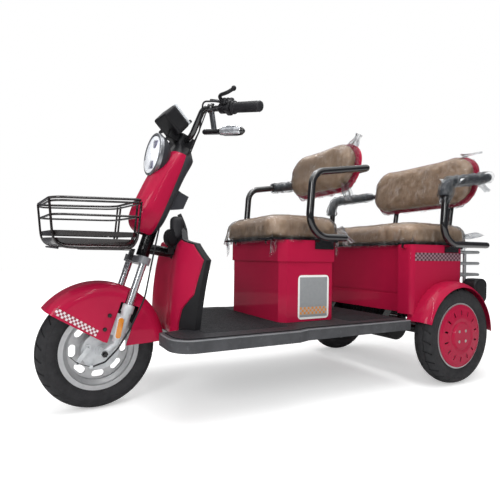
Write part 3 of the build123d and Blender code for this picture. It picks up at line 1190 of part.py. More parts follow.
rear_x = (REAR_AXLE_X - REAR_SEAT_FRONT, REAR_AXLE_X + REAR_SEAT_REAR)
body_front = REAR_AXLE_X - BODY_FRONT
save("rear_body", rear_body())
save("rear_fenders", pair(rear_fender()))
save("tail_lamps", pair(tail_lamp()))
save("rear_seat_frame", rear_seat_frame())
base = seat_base(*rear_x, REAR_SEAT_HALF_WIDTH, BODY_TOP_Z)
save("rear_seat_base", base + pair(hinge_eye(body_front, BODY_TOP_Z, -REAR_HINGE_Y, rear_x[0] + 14)))
save("rear_cushion", cushion(*rear_x, REAR_SEAT_HALF_WIDTH, BODY_TOP_Z, CUSHION_HEIGHT))
save("rear_back_pad", back_pad(REAR_AXLE_X + REAR_BACK_X, *REAR_BACK_Z, REAR_BACK_HALF_WIDTH))
save("rear_back_shell", back_shell(REAR_AXLE_X + REAR_BACK_X, *REAR_BACK_Z, REAR_BACK_HALF_WIDTH))
save("rear_arm_frame", rear_arm_frame())
save("rear_rails", rear_rails())
save("rear_axle", rear_axle())
save("drive_motor", drive_motor())
save("leaf_springs", pair(leaf_spring()))
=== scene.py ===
"""Electric tricycle: materials, soft goods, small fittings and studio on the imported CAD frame."""

import math

import bpy
import bmesh
from mathutils import Matrix, Vector, noise


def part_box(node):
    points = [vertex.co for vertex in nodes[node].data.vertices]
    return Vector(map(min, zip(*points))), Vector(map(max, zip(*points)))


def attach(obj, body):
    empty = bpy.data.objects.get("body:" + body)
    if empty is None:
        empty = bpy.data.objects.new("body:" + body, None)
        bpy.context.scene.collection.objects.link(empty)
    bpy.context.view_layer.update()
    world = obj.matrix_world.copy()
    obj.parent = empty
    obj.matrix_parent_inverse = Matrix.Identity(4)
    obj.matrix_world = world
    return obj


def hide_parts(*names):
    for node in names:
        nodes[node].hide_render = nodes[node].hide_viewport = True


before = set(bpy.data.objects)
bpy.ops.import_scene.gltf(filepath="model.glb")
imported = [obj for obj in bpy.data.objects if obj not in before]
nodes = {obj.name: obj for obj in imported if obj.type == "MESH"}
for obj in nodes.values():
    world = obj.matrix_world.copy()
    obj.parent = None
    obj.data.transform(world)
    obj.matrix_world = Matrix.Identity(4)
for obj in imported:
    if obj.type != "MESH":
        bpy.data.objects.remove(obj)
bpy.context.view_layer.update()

MM = 0.001
RAKE = math.radians(18.7)
STEER_REST = math.radians(6.0)
BACK_LEAN = math.radians(9.0)
STEER_FOOT = Vector((-0.72243, 0.0, 0.19225))
STEER_UP = Vector((math.sin(RAKE), 0.0, math.cos(RAKE)))
TRAY_FRONT = -0.598
TRAY_HALF = 0.333
TRAY_REAR_HALF = 0.316          # behind the step in the tray's side
TRAY_CORNER = 0.070
LIP_Z = 0.2785
MAT_RIBS = 43
MAT_RIB_Y = -0.252              # first rib, on the left
MAT_RIB_STEP = 0.012


# ---------------------------------------------------------------- materials
def hex_colour(code):
    """An sRGB hex value as a linear colour."""
    parts = [int(code[i:i + 2], 16) / 255 for i in (1, 3, 5)]
    linear = [c / 12.92 if c <= 0.04045 else ((c + 0.055) / 1.055) ** 2.4 for c in parts]
    return (*linear, 1.0)


def add(tree, kind, sockets=None, **settings):
    """Adds a node with its settings; a socket is given a value, or linked to a node or one of its outputs."""
    made = tree.nodes.new(kind)
    for name, value in settings.items():
        setattr(made, name, value)
    for name, value in (sockets or {}).items():
        if isinstance(value, bpy.types.Node):
            value = value.outputs[0]
        if isinstance(value, bpy.types.NodeSocket):
            tree.links.new(value, made.inputs[name])
        else:
            made.inputs[name].default_value = value
    return made


def blank(name):
    """A new material with an empty tree and the place on the piece in millimetres."""
    made = bpy.data.materials.new(name)
    made.use_nodes = True
    tree = made.node_tree
    tree.nodes.clear()
    where = add(tree, "ShaderNodeTexCoord")
    scaled = add(tree, "ShaderNodeMapping", {"Vector": where.outputs["Object"], "Scale": (1000, 1000, 1000)})
    return made, tree, scaled


def surface(name, colour, second, rough, mottle, grain=None, ripple=None, fleck=None, **shader):
    """A finish whose colour drifts over `mottle` mm; grain and ripple are a size and a depth in mm."""
    made, tree, where = blank(name)
    drift = add(tree, "ShaderNodeTexNoise", {"Vector": where, "Scale": 1 / mottle, "Detail": 4.0})
    share = add(tree, "ShaderNodeMapRange", {"Value": drift.outputs["Fac"], "From Min": 0.32, "From Max": 0.68})
    tint = add(tree, "ShaderNodeMix", {0: share, 6: hex_colour(colour), 7: hex_colour(second)}, data_type="RGBA")
    tint = tint.outputs[2]
    if fleck:
        spots = add(tree, "ShaderNodeTexNoise", {"Vector": where, "Scale": 1 / fleck[1], "Detail": 6.0,
                                                 "Roughness": 0.7})
        few = add(tree, "ShaderNodeMapRange", {"Value": spots.outputs["Fac"], "From Min": 0.56, "From Max": 0.72,
                                               "To Max": fleck[2]})
        tint = add(tree, "ShaderNodeMix", {0: few, 6: tint, 7: hex_colour(fleck[0])}, data_type="RGBA").outputs[2]
    cloud = add(tree, "ShaderNodeTexNoise", {"Vector": where, "Scale": 3 / mottle, "Detail": 5.0})
    sheen = add(tree, "ShaderNodeMapRange", {"Value": cloud.outputs["Fac"], "From Min": 0.3, "From Max": 0.7,
                                             "To Min": rough[0], "To Max": rough[1]})
    sockets = {"Base Color": tint, "Roughness": sheen}
    if ripple:
        waves = add(tree, "ShaderNodeTexNoise", {"Vector": where, "Scale": 1 / ripple[0], "Detail": 1.0})
        sockets["Normal"] = add(tree, "ShaderNodeBump", {"Height": waves.outputs["Fac"], "Distance": ripple[1] * MM})
    if grain:
        cells = add(tree, "ShaderNodeTexVoronoi", {"Vector": where, "Scale": 1 / grain[0]})
        pits = add(tree, "ShaderNodeBump", {"Height": cells.outputs["Distance"], "Distance": grain[1] * MM})
        if ripple:
            tree.links.new(sockets["Normal"].outputs[0], pits.inputs["Normal"])
        sockets["Normal"] = pits
    sockets.update({key.replace("_", " "): value for key, value in shader.items()})
    skin = add(tree, "ShaderNodeBsdfPrincipled", sockets)
    add(tree, "ShaderNodeOutputMaterial", {"Surface": skin})
    return made


# ABS sprayed crimson under clear lacquer: a deep even colour, a sharp glaze and slight orange peel.
RED = surface("lacquered_abs_crimson", "#B2183F", "#A4133A", (0.42, 0.5), 240, ripple=(7.0, 0.02),
              Coat_Weight=0.22, Coat_Roughness=0.04, Specular_IOR_Level=0.08, IOR=1.45)
# Moulded polypropylene with a spark-eroded grain: dark and flat with a broad weak shine.
BLACK = surface("grained_polypropylene_black", "#161618", "#1D1D20", (0.40, 0.52), 70, grain=(1.4, 0.04),
                Specular_IOR_Level=0.25, IOR=1.49)
# Satin moulded plastic, a shade lighter than black.
DARK_GREY = surface("satin_abs_dark_grey", "#333438", "#3A3B40", (0.38, 0.48), 80, grain=(1.2, 0.03),
                    Specular_IOR_Level=0.22, IOR=1.5)
# Floor tray in scuffed grey polypropylene: a light rim and dull foot marks.
GREY = surface("scuffed_polypropylene_grey", "#3E3F42", "#4A4B4E", (0.42, 0.6), 45, grain=(1.6, 0.05),
               fleck=("#66686B", 14, 0.35), Specular_IOR_Level=0.3, IOR=1.49)
# Gloss black powder coat on steel tube: tiny ripples under a hard shine.
BLACK_STEEL = surface("powder_coat_gloss_black", "#0B0B0C", "#111113", (0.22, 0.3), 50, ripple=(3.0, 0.015),
                      Coat_Weight=0.3, Coat_Roughness=0.06, Specular_IOR_Level=0.3, IOR=1.5)
# Satin grey paint on steel rails.
GREY_STEEL = surface("satin_paint_grey_steel", "#6E7074", "#7B7D81", (0.32, 0.42), 50, ripple=(3.0, 0.02), IOR=1.5)
# Silver paint on a cast aluminium wheel: soft metallic with a faint cast skin.
WHEEL_SILVER = surface("silver_paint_cast_aluminium", "#BDBEBF", "#AFB0B2", (0.36, 0.46), 30, grain=(1.0, 0.02),
                       Metallic=0.6)
# Tumbled cast aluminium: pale, dull, with a pitted skin.
CAST = surface("tumbled_cast_aluminium", "#D4D7D9", "#C3C6C9", (0.42, 0.55), 18, grain=(1.1, 0.05), Metallic=0.4)
# Chrome plate under a thin oil film: bright and softly blurred.
CHROME = surface("bright_chrome_plate", "#CDD0D3", "#C2C6CA", (0.22, 0.3), 40, Metallic=0.85)
# Zinc-plated steel fasteners: pale, slightly cloudy.
ZINC = surface("zinc_plated_steel", "#BDBDB8", "#A9A9A2", (0.26, 0.38), 9, Metallic=1.0)
# Moulded tread rubber with a dusty bloom.
TYRE = surface("moulded_tyre_rubber", "#252527", "#2E2E30", (0.60, 0.78), 28, grain=(1.5, 0.05),
               fleck=("#3D3D3E", 9, 0.3), Specular_IOR_Level=0.25, IOR=1.52)
# Handle and mat rubber, moulded: dark grey and dull.
RUBBER = surface("moulded_rubber_black", "#1F1F22", "#28282B", (0.5, 0.66), 30, grain=(1.2, 0.04),
                 Specular_IOR_Level=0.3, IOR=1.52)
# Tan artificial leather, embossed: small pebble grain over soft creases.
LEATHERETTE = surface("embossed_leatherette_tan", "#AB927A", "#9A8068", (0.42, 0.55), 35, grain=(2.2, 0.22),
                      ripple=(18.0, 0.7), Sheen_Weight=0.1, Specular_IOR_Level=0.35, IOR=1.5)
# Gloss black enamel on the handlebar and turn lamps: deep black with a pale streak along the top.
GLOSS_BLACK = surface("gloss_enamel_black", "#121214", "#19191B", (0.16, 0.24), 45, ripple=(5.0, 0.01),
                      Coat_Weight=0.6, Coat_Roughness=0.04, Specular_IOR_Level=0.6, IOR=1.5)
# Satin grey enamel on small pressed brackets.
SATIN_GREY = surface("satin_enamel_grey", "#5A5C60", "#686A6E", (0.28, 0.36), 30, Metallic=0.5)
# Silver-grey paint on the rear rails: pale, a little metallic.
RAIL_GREY = surface("silver_grey_enamel", "#8C8E90", "#9A9C9E", (0.3, 0.4), 40, Metallic=0.3)
# Brushed bezel ring: satin silver, darker where it turns away.
BEZEL = surface("brushed_aluminium_bezel", "#9A9CA0", "#85878B", (0.28, 0.38), 12, Metallic=0.8)
# Edge of the floor tray: paler and smoother than its faces.
LIP_GREY = surface("pale_polypropylene_grey", "#6E7073", "#7E8083", (0.34, 0.46), 30, IOR=1.49)
# Battery housing in plain black ABS.
BATTERY = surface("moulded_abs_battery_black", "#17171A", "#1F1F22", (0.4, 0.5), 60, grain=(1.5, 0.04), IOR=1.5)


def clear_skin(name, tint, second, blend, rough):
    """Thin clear plastic: light passes straight through, and only its gloss shows."""
    made, tree, where = blank(name)
    cloud = add(tree, "ShaderNodeTexNoise", {"Vector": where, "Scale": 1 / 25, "Detail": 3.0})
    drift = add(tree, "ShaderNodeMix", {0: cloud.outputs["Fac"], 6: hex_colour(tint), 7: hex_colour(second)},
                data_type="RGBA")
    polish = add(tree, "ShaderNodeMapRange", {"Value": cloud.outputs["Fac"], "To Min": rough[0], "To Max": rough[1]})
    skin = add(tree, "ShaderNodeBsdfPrincipled", {"Base Color": drift.outputs[2], "Roughness": polish, "IOR": 1.58})
    edge = add(tree, "ShaderNodeLayerWeight", {"Blend": blend})
    through = add(tree, "ShaderNodeBsdfTransparent")
    both = add(tree, "ShaderNodeMixShader", {0: edge.outputs["Fresnel"], 1: through, 2: skin})
    add(tree, "ShaderNodeOutputMaterial", {"Surface": both})
    return made


# Polished polycarbonate over the headlamp: clear face on, pale at its rim.
LENS = clear_skin("polished_polycarbonate_clear", "#EDF0F5", "#F6F8FB", 0.25, (0.03, 0.08))

DRESS = {
    "head_frame": BLACK_STEEL, "floor_frame": BLACK_STEEL, "floor_tray": GREY, "floor_mat": RUBBER,
    "leg_shield": RED, "inner_panel": BLACK, "horn": BLACK, "seat_box": RED, "front_back_shell": RED,
    "front_arm_frame": GLOSS_BLACK, "battery": BATTERY, "rear_body": RED, "rear_fenders": RED,
    "tail_lamps": BLACK, "rear_seat_frame": GLOSS_BLACK, "rear_back_shell": RED, "rear_arm_frame": GLOSS_BLACK,
    "rear_rails": RAIL_GREY, "rear_axle": BLACK_STEEL, "drive_motor": BLACK, "leaf_springs": BLACK_STEEL,
    "fork_crown": GREY_STEEL, "fork_sliders": CAST, "fork_stanchions": CHROME, "front_axle": BLACK_STEEL,
    "brake_plate": CAST, "front_mudguard": RED, "cowl_front": RED, "cowl_back": DARK_GREY,
    "headlamp_bucket": DARK_GREY, "headlamp_bezel": BEZEL, "headlamp_lens": LENS, "meter": BLACK,
    "handlebar": GLOSS_BLACK, "bar_clamp": BLACK, "grips": RUBBER, "hand_controls": BLACK,
    "indicators": BLACK, "basket": BLACK_STEEL, "control_cables": RUBBER, "brake_cable": RUBBER,
    "front_tyre": TYRE, "front_rim": WHEEL_SILVER, "rear_tyre_left": TYRE, "rear_tyre_right": TYRE,
    "rear_rim_left": WHEEL_SILVER, "rear_rim_right": WHEEL_SILVER, "wheel_cover_left": RED,
    "wheel_cover_right": RED, "front_seat_base": BLACK, "front_cushion": LEATHERETTE, "rear_seat_base": BLACK,
    "rear_cushion": LEATHERETTE, "front_back_pad": LEATHERETTE, "rear_back_pad": LEATHERETTE,
}
for name, thing in nodes.items():
    for index in range(len(thing.material_slots)):
        thing.material_slots[index].material = DRESS.get(name, BLACK)


# ---------------------------------------------------------------- modelling
def only(thing):
    bpy.ops.object.select_all(action="DESELECT")
    thing.select_set(True)
    bpy.context.view_layer.objects.active = thing


def primitive(kind, name, **settings):
    bpy.ops.object.select_all(action="DESELECT")
    getattr(bpy.ops.mesh, f"primitive_{kind}_add")(**settings)
    made = bpy.context.active_object
    made.name = name
    return made


def settle(thing, place=None):
    """Brings a piece to its place and leaves its object at the origin."""
    if place is not None:
        thing.matrix_world = place @ thing.matrix_world
    only(thing)
    bpy.ops.object.transform_apply(location=True, rotation=True, scale=True)


def modify(thing, kind, **settings):
    only(thing)
    step = thing.modifiers.new(kind.lower(), kind)
    for name, value in settings.items():
        setattr(step, name, value)
    bpy.ops.object.modifier_apply(modifier=step.name)


class editing:
    """Edit mode on one piece, with nothing selected at first."""

    def __init__(self, thing):
        self.thing = thing

    def __enter__(self):
        only(self.thing)
        bpy.ops.object.mode_set(mode="EDIT")
        bpy.ops.mesh.select_mode(type="VERT")
        bpy.ops.mesh.select_all(action="DESELECT")

    def __exit__(self, *_):
        bpy.ops.object.mode_set(mode="OBJECT")


def pick(thing, kind, wanted):
    """In edit mode, selects the vertices, edges or faces whose middle passes the test."""
    bpy.ops.mesh.select_mode(type=kind)
    bpy.ops.mesh.select_all(action="DESELECT")
    mesh = bmesh.from_edit_mesh(thing.data)
    parts = {"VERT": mesh.verts, "EDGE": mesh.edges, "FACE": mesh.faces}[kind]
    for part in parts:
        corners = [part] if kind == "VERT" else part.verts
        middle = sum((corner.co for corner in corners), Vector()) / len(corners)
        if wanted(middle):
            part.select_set(True)
    bmesh.update_edit_mesh(thing.data)


def joined(name, things):
    bpy.ops.object.select_all(action="DESELECT")
    for thing in things:
        thing.select_set(True)
    bpy.context.view_layer.objects.active = things[0]
    bpy.ops.object.join()
    things[0].name = name
    return things[0]


def copied(name, thing, place):
    """A copy with its own mesh, moved by a matrix."""
    made = bpy.data.objects.new(name, thing.data.copy())
    bpy.context.scene.collection.objects.link(made)
    made.data.transform(place)
    if place.determinant() < 0:
        made.data.flip_normals()
    return made


def dress(thing, body, finish, angle=35):
    """Gives a finished piece its material, shading and body."""
    thing.data.materials.clear()
    thing.data.materials.append(finish)
    only(thing)
    if angle:
        bpy.ops.object.shade_smooth_by_angle(angle=math.radians(angle))
    else:
        bpy.ops.object.shade_smooth()
    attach(thing, body)
    return thing


def turned(name, outline, place=None, steps=48):
    """A turned piece: (radius, height) points spun about the place's Z axis."""
    made = primitive("plane", name, size=0.002)
    with editing(made):
        bpy.ops.mesh.select_all(action="SELECT")
        bpy.ops.mesh.merge(type="CENTER")
        bpy.ops.transform.translate(value=(outline[0][0], 0, outline[0][1]))
        for (r0, h0), (r1, h1) in zip(outline, outline[1:]):
            bpy.ops.mesh.extrude_region_move(TRANSFORM_OT_translate={"value": (r1 - r0, 0, h1 - h0)})
        bpy.ops.mesh.select_all(action="SELECT")
        bpy.ops.mesh.spin(steps=steps, angle=2 * math.pi, center=(0, 0, 0), axis=(0, 0, 1))
        bpy.ops.mesh.select_all(action="SELECT")
        bpy.ops.mesh.remove_doubles(threshold=2e-6)
        bpy.ops.mesh.normals_make_consistent(inside=False)
    settle(made, place)
    return made


def wire(name, points, diameter, kind="NURBS", resolution=8, cyclic=False):
    """A round wire along a smooth line through or near the points, as a mesh."""
    curve = bpy.data.curves.new(name, "CURVE")
    curve.dimensions = "3D"
    curve.bevel_depth = diameter / 2
    curve.bevel_resolution = 4
    curve.resolution_u = resolution
    curve.use_fill_caps = True
    line = curve.splines.new(kind)
    line.points.add(len(points) - 1)
    for point, where in zip(line.points, points):
        point.co = (*where, 1)
    line.use_cyclic_u = cyclic
    if kind == "NURBS":
        line.order_u = 3
        line.use_endpoint_u = True
    made = bpy.data.objects.new(name, curve)
    bpy.context.scene.collection.objects.link(made)
    only(made)
    bpy.ops.object.convert(target="MESH")
    made = bpy.context.active_object
    made.name = name
    return made


def bolt(name, place, across=0.012, height=0.006, washer=0.0):
    """A flanged hexagon bolt head that points along the place's Z."""
    head = primitive("cylinder", name, vertices=6, radius=across / 2 / math.cos(math.pi / 6), depth=height,
                     location=(0, 0, height / 2 + washer))
    with editing(head):
        pick(head, "FACE", lambda middle: middle.z > height / 2 + washer and abs(middle.z - height - washer) < 1e-5)
        bpy.ops.mesh.bevel(offset=across * 0.09, segments=2)
    settle(head)
    collar = turned(name + "_collar", [(0.0, 0.0), (across * 0.72, 0.0), (across * 0.72, height * 0.18),
                                       (across * 0.60, height * 0.3), (0.0, height * 0.3)], steps=20)
    made = joined(name, [head, collar])
    settle(made, place)
    return made


def looking(place, direction, spin=0.0):
    """A place whose Z points along a direction."""
    turn = Vector(direction).to_track_quat("Z", "Y").to_matrix().to_4x4()
    return Matrix.Translation(place) @ turn @ Matrix.Rotation(spin, 4, "Z")


def between(start, end, side=Vector((0, 0, 1))):
    """A place at the start whose Z points to the end and whose X leans to one side."""
    forward = (end - start).normalized()
    across = side.cross(forward).normalized()
    turn = Matrix((across.cross(forward) * -1, across, forward)).transposed()
    return Matrix.Translation(start) @ turn.to_4x4()


def rounded(name, size, centre, bevel, segments=3, place=None):
    """A box with rounded edges: its size and centre in metres."""
    made = primitive("cube", name, size=1, location=centre)
    made.scale = size
    settle(made)
    with editing(made):
        bpy.ops.mesh.select_all(action="SELECT")
        bpy.ops.mesh.bevel(offset=bevel, segments=segments)
    settle(made, place)
    return made


# ---------------------------------------------------------------- places
STEER_BACK = Vector((math.cos(RAKE), 0.0, -math.sin(RAKE)))
FORK_BASIS = Matrix((STEER_BACK, Vector((0, 1, 0)), STEER_UP)).transposed().to_4x4()
STEER_TURN = (Matrix.Translation(STEER_FOOT) @ Matrix.Rotation(STEER_REST, 4, STEER_UP)
              @ Matrix.Translation(-STEER_FOOT))
FORK = STEER_TURN @ Matrix.Translation(STEER_FOOT) @ FORK_BASIS
FRONT_WHEEL = STEER_TURN @ Matrix.Translation((-0.766, 0, 0.207)) @ Matrix.Rotation(math.pi / 2, 4, "X")


def rear_wheel(side):
    """The left (-1) or right (+1) rear wheel's middle; Z points outward."""
    return Matrix.Translation((0.674, side * 0.335, 0.207)) @ Matrix.Rotation(-side * math.pi / 2, 4, "X")


def fork(back, out, up):
    """A point of the steering, in millimetres back, out and up its axis, as it rests."""
    return FORK @ (Vector((back, out, up)) * MM)


# ---------------------------------------------------------------- tyres
def tyre(name, node, body, place):
    """A road tyre: curved grooves run from the crown out over both shoulders, with two rain channels."""
    section = [(0.1285, 0.0275), (0.134, 0.0300), (0.141, 0.0308), (0.150, 0.0372), (0.160, 0.0412),
               (0.168, 0.0420), (0.176, 0.0412), (0.183, 0.0392), (0.190, 0.0360), (0.1945, 0.0325),
               (0.1988, 0.0270), (0.2022, 0.0205), (0.2042, 0.0145), (0.2050, 0.0125), (0.2062, 0.0085),
               (0.2068, 0.0040)]
    outline = section + [(radius, -height) for radius, height in reversed(section)]
    steps = 168
    made = turned(name, outline + [outline[0]], steps=steps)

    def turn_of(middle):
        return math.atan2(middle.y, middle.x) % (2 * math.pi) / (2 * math.pi) * steps

    def in_groove(middle):
        return math.hypot(middle.x, middle.y) > 0.189 and abs(middle.z) > 0.0085 and int(turn_of(middle)) % 6 == (
            0 if middle.z > 0 else 3)

    def in_channel(middle):
        return math.hypot(middle.x, middle.y) > 0.19 and 0.0125 < abs(middle.z) < 0.0145

    with editing(made):
        pick(made, "FACE", lambda middle: in_groove(middle) or in_channel(middle))
        bpy.ops.mesh.extrude_region_shrink_fatten(TRANSFORM_OT_shrink_fatten={"value": -0.0042})
    for vertex in made.data.vertices:
        radius = math.hypot(vertex.co.x, vertex.co.y)
        if radius > 0.183:
            sweep = 0.085 * (abs(vertex.co.z) / 0.036) ** 2
            vertex.co = Matrix.Rotation(sweep, 3, "Z") @ vertex.co
    ring = [turned(f"{name}_ring_{index}", [(radius - 0.0012, high - 0.0006), (radius, high + 0.0007),
                                            (radius + 0.0012, high - 0.0006)], steps=96)
            for index, (radius, high) in enumerate(((0.1465, 0.0346), (0.1795, 0.0404)))]
    flipped = [copied(f"{thing.name}_far", thing, Matrix.Scale(-1, 4, (0, 0, 1))) for thing in ring]
    made = joined(name, [made, *ring, *flipped])
    settle(made, place)
    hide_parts(node)
    return dress(made, body, TYRE, 30)


tyre("front_tyre_moulded", "front_tyre", "front_wheel", FRONT_WHEEL)
tyre("rear_tyre_moulded_left", "rear_tyre_left", "rear_wheel_left", rear_wheel(-1))
tyre("rear_tyre_moulded_right", "rear_tyre_right", "rear_wheel_right", rear_wheel(1))


# ---------------------------------------------------------------- cushions and pads
def from_node(name, node, grow=0.0):
    """A merged copy of a CAD node's mesh, grown or shrunk evenly by that many metres on each side."""
    mesh = nodes[node].data.copy()
    made = bpy.data.objects.new(name, mesh)
    bpy.context.scene.collection.objects.link(made)
    with editing(made):
        bpy.ops.mesh.select_all(action="SELECT")
        bpy.ops.mesh.remove_doubles(threshold=1e-6)
    low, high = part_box(node)
    middle = (Vector(low) + Vector(high)) / 2
    size = Vector(high) - Vector(low)
    share = Matrix.Diagonal([(side + 2 * grow) / side for side in size]).to_4x4()
    made.data.transform(Matrix.Translation(middle) @ share @ Matrix.Translation(-middle))
    return made


def puffed(thing, pressure, cap):
    """Blows a closed form up softly as cloth; no point moves further than the cap."""
    scene = bpy.context.scene
    rest = [vertex.co.copy() for vertex in thing.data.vertices]
    cloth = thing.modifiers.new("puff", "CLOTH")
    cloth.settings.use_pressure = True
    cloth.settings.uniform_pressure_force = pressure
    cloth.settings.effector_weights.gravity = 0
    cloth.settings.quality = 4
    for step in range(1, 21):
        scene.frame_set(step)
    moved = thing.evaluated_get(bpy.context.evaluated_depsgraph_get())
    places = [vertex.co.copy() for vertex in moved.data.vertices]
    thing.modifiers.remove(cloth)
    scene.frame_set(1)
    for vertex, start, end in zip(thing.data.vertices, rest, places):
        step = end - start
        if step.length > cap:
            step *= cap / step.length
        vertex.co = start + step


def creased(thing, size, depth, seed):
    """Soft wrinkles of that size and depth in millimetres."""
    shift = Vector((seed * 7.1, seed * 3.7, seed * 5.3))
    normals = [vertex.normal.copy() for vertex in thing.data.vertices]
    for vertex, normal in zip(thing.data.vertices, normals):
        where = vertex.co * 1000 / size + shift
        fold = sum(abs(noise.noise(where * 2 ** octave)) / 1.7 ** octave for octave in range(3))
        vertex.co += normal * fold * depth * MM


def stuffed(name, node, body, cap):
    """A foam pad in artificial leather, blown up inside its CAD solid's space."""
    pad = from_node(name, node, -0.45 * cap)
    modify(pad, "REMESH", mode="VOXEL", voxel_size=0.0085)
    puffed(pad, 4.0, cap)
    modify(pad, "SUBSURF", levels=1, render_levels=1)
    creased(pad, 130, 1.2, len(name))
    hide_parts(node)
    dress(pad, body, LEATHERETTE, 0)
    return pad


front_cushion = stuffed("front_cushion_sewn", "front_cushion", "front_lid", 0.012)
rear_cushion = stuffed("rear_cushion_sewn", "rear_cushion", "rear_lid", 0.012)
front_pad = stuffed("front_back_sewn", "front_back_pad", "root", 0.010)
rear_pad = stuffed("rear_back_sewn", "rear_back_pad", "root", 0.010)

# ---------------------------------------------------------------- clear film
def film_material():
    """Blown polyethylene packing film: clear, its see-through tint greyed in the folds as painted shade, with broken
    white glints where it is bunched.
    """
    made, tree, where = blank("blown_polyethylene_film")
    pulled = add(tree, "ShaderNodeMapping", {"Vector": where, "Scale": (1, 1, 0.45)})
    folds = add(tree, "ShaderNodeTexNoise", {"Vector": pulled, "Scale": 1 / 26, "Detail": 5.0, "Roughness": 0.6,
                                             "Distortion": 1.8})
    creases = add(tree, "ShaderNodeTexVoronoi", {"Vector": pulled, "Scale": 1 / 15}, feature="DISTANCE_TO_EDGE")
    bunched = add(tree, "ShaderNodeTexNoise", {"Vector": where, "Scale": 1 / 110, "Detail": 1.0})
    loose = add(tree, "ShaderNodeMapRange", {"Value": bunched.outputs["Fac"], "From Min": 0.42, "From Max": 0.66,
                                             "To Min": 0.18, "To Max": 1.0})
    broad = add(tree, "ShaderNodeBump", {"Height": folds.outputs["Fac"], "Distance": 16 * MM, "Strength": loose})
    crisp = add(tree, "ShaderNodeBump", {"Height": creases.outputs["Distance"], "Distance": 3 * MM,
                                         "Strength": loose, "Normal": broad})
    # Painted shade: the see-through tint turns grey where the fold noise is low, in the creases.
    share = add(tree, "ShaderNodeMapRange", {"Value": folds.outputs["Fac"], "From Min": 0.32, "From Max": 0.6})
    tint = add(tree, "ShaderNodeMix", {0: share, 6: hex_colour("#E4E6E8"), 7: hex_colour("#FCFCFC")},
               data_type="RGBA")
    rough = add(tree, "ShaderNodeMapRange", {"Value": folds.outputs["Fac"], "To Min": 0.05, "To Max": 0.16})
    clear = add(tree, "ShaderNodeBsdfTransparent", {"Color": tint.outputs[2]})
    glint = add(tree, "ShaderNodeBsdfGlossy", {"Color": (0.95, 0.96, 0.97, 1), "Roughness": rough, "Normal": crisp})
    edge = add(tree, "ShaderNodeLayerWeight", {"Blend": 0.2, "Normal": crisp})
    skin = add(tree, "ShaderNodeMixShader", {0: edge.outputs["Fresnel"], 1: clear, 2: glint})
    milk = add(tree, "ShaderNodeMapRange", {"Value": folds.outputs["Fac"], "From Min": 0.5, "From Max": 0.8,
                                            "To Min": 0.0, "To Max": 0.2})
    cloud = add(tree, "ShaderNodeBsdfDiffuse", {"Color": hex_colour("#E8EAEC")})
    both = add(tree, "ShaderNodeMixShader", {0: milk, 1: skin, 2: cloud})
    add(tree, "ShaderNodeOutputMaterial", {"Surface": both})
    return made


FILM = film_material()


def falling(thing, solids, frames, stiffness=8.0, gravity=1.0, gap=0.003, pins=None, shrink=0.0):
    """Lets a sheet fall on to the solids as cloth and keeps the shape it comes to rest in."""
    scene = bpy.context.scene
    for solid in solids:
        solid.modifiers.new("stop", "COLLISION")
        solid.collision.thickness_outer = gap
        solid.collision.cloth_friction = 12
    cloth = thing.modifiers.new("fall", "CLOTH")
    cloth.settings.quality = 5
    cloth.settings.mass = 0.12
    cloth.settings.tension_stiffness = stiffness
    cloth.settings.compression_stiffness = stiffness
    cloth.settings.shear_stiffness = stiffness / 2
    cloth.settings.bending_stiffness = 0.35
    cloth.settings.air_damping = 2.0
    cloth.settings.effector_weights.gravity = gravity
    cloth.settings.shrink_min = shrink
    cloth.collision_settings.distance_min = gap
    cloth.collision_settings.use_self_collision = False
    if pins:
        cloth.settings.vertex_group_mass = pins
    for step in range(1, frames + 1):
        scene.frame_set(step)
    only(thing)
    bpy.ops.object.modifier_apply(modifier=cloth.name)
    for solid in solids:
        solid.modifiers.remove(solid.modifiers["stop"])
    scene.frame_set(1)


def finished_film(thing, body):
    dress(thing, body, FILM, 60)
    return thing


def seat_film(name, pad, body, skirt, stands):
    """Packing film laid over a cushion, with loose skirts that hang past its edges."""
    low, high = Vector((9, 9, 9)), Vector((-9, -9, -9))
    for vertex in pad.data.vertices:
        low = Vector(map(min, low, vertex.co))
        high = Vector(map(max, high, vertex.co))
    length, width = high.x - low.x + 2 * skirt, high.y - low.y + 2 * skirt
    cells = 0.0105
    sheet = primitive("grid", name, x_subdivisions=int(length / cells), y_subdivisions=int(width / cells), size=1,
                      location=((low.x + high.x) / 2, (low.y + high.y) / 2, high.z + 0.006))
    sheet.scale = (length, width, 1)
    settle(sheet)
    form = copied(f"{name}_form", pad, Matrix())
    modify(form, "REMESH", mode="VOXEL", voxel_size=0.014)
    blocks = [form]
    for index, (first, second) in enumerate(stands):
        middle = (Vector(first) + Vector(second)) / 2
        block = primitive("cube", f"{name}_stand_{index}", size=1, location=middle)
        block.scale = Vector(second) - Vector(first)
        settle(block)
        blocks.append(block)
    falling(sheet, blocks, 32)
    for block in blocks:
        bpy.data.objects.remove(block)
    modify(sheet, "SUBSURF", levels=1, render_levels=1)
    creased(sheet, 42, 3.0, len(name))
    return finished_film(sheet, body)


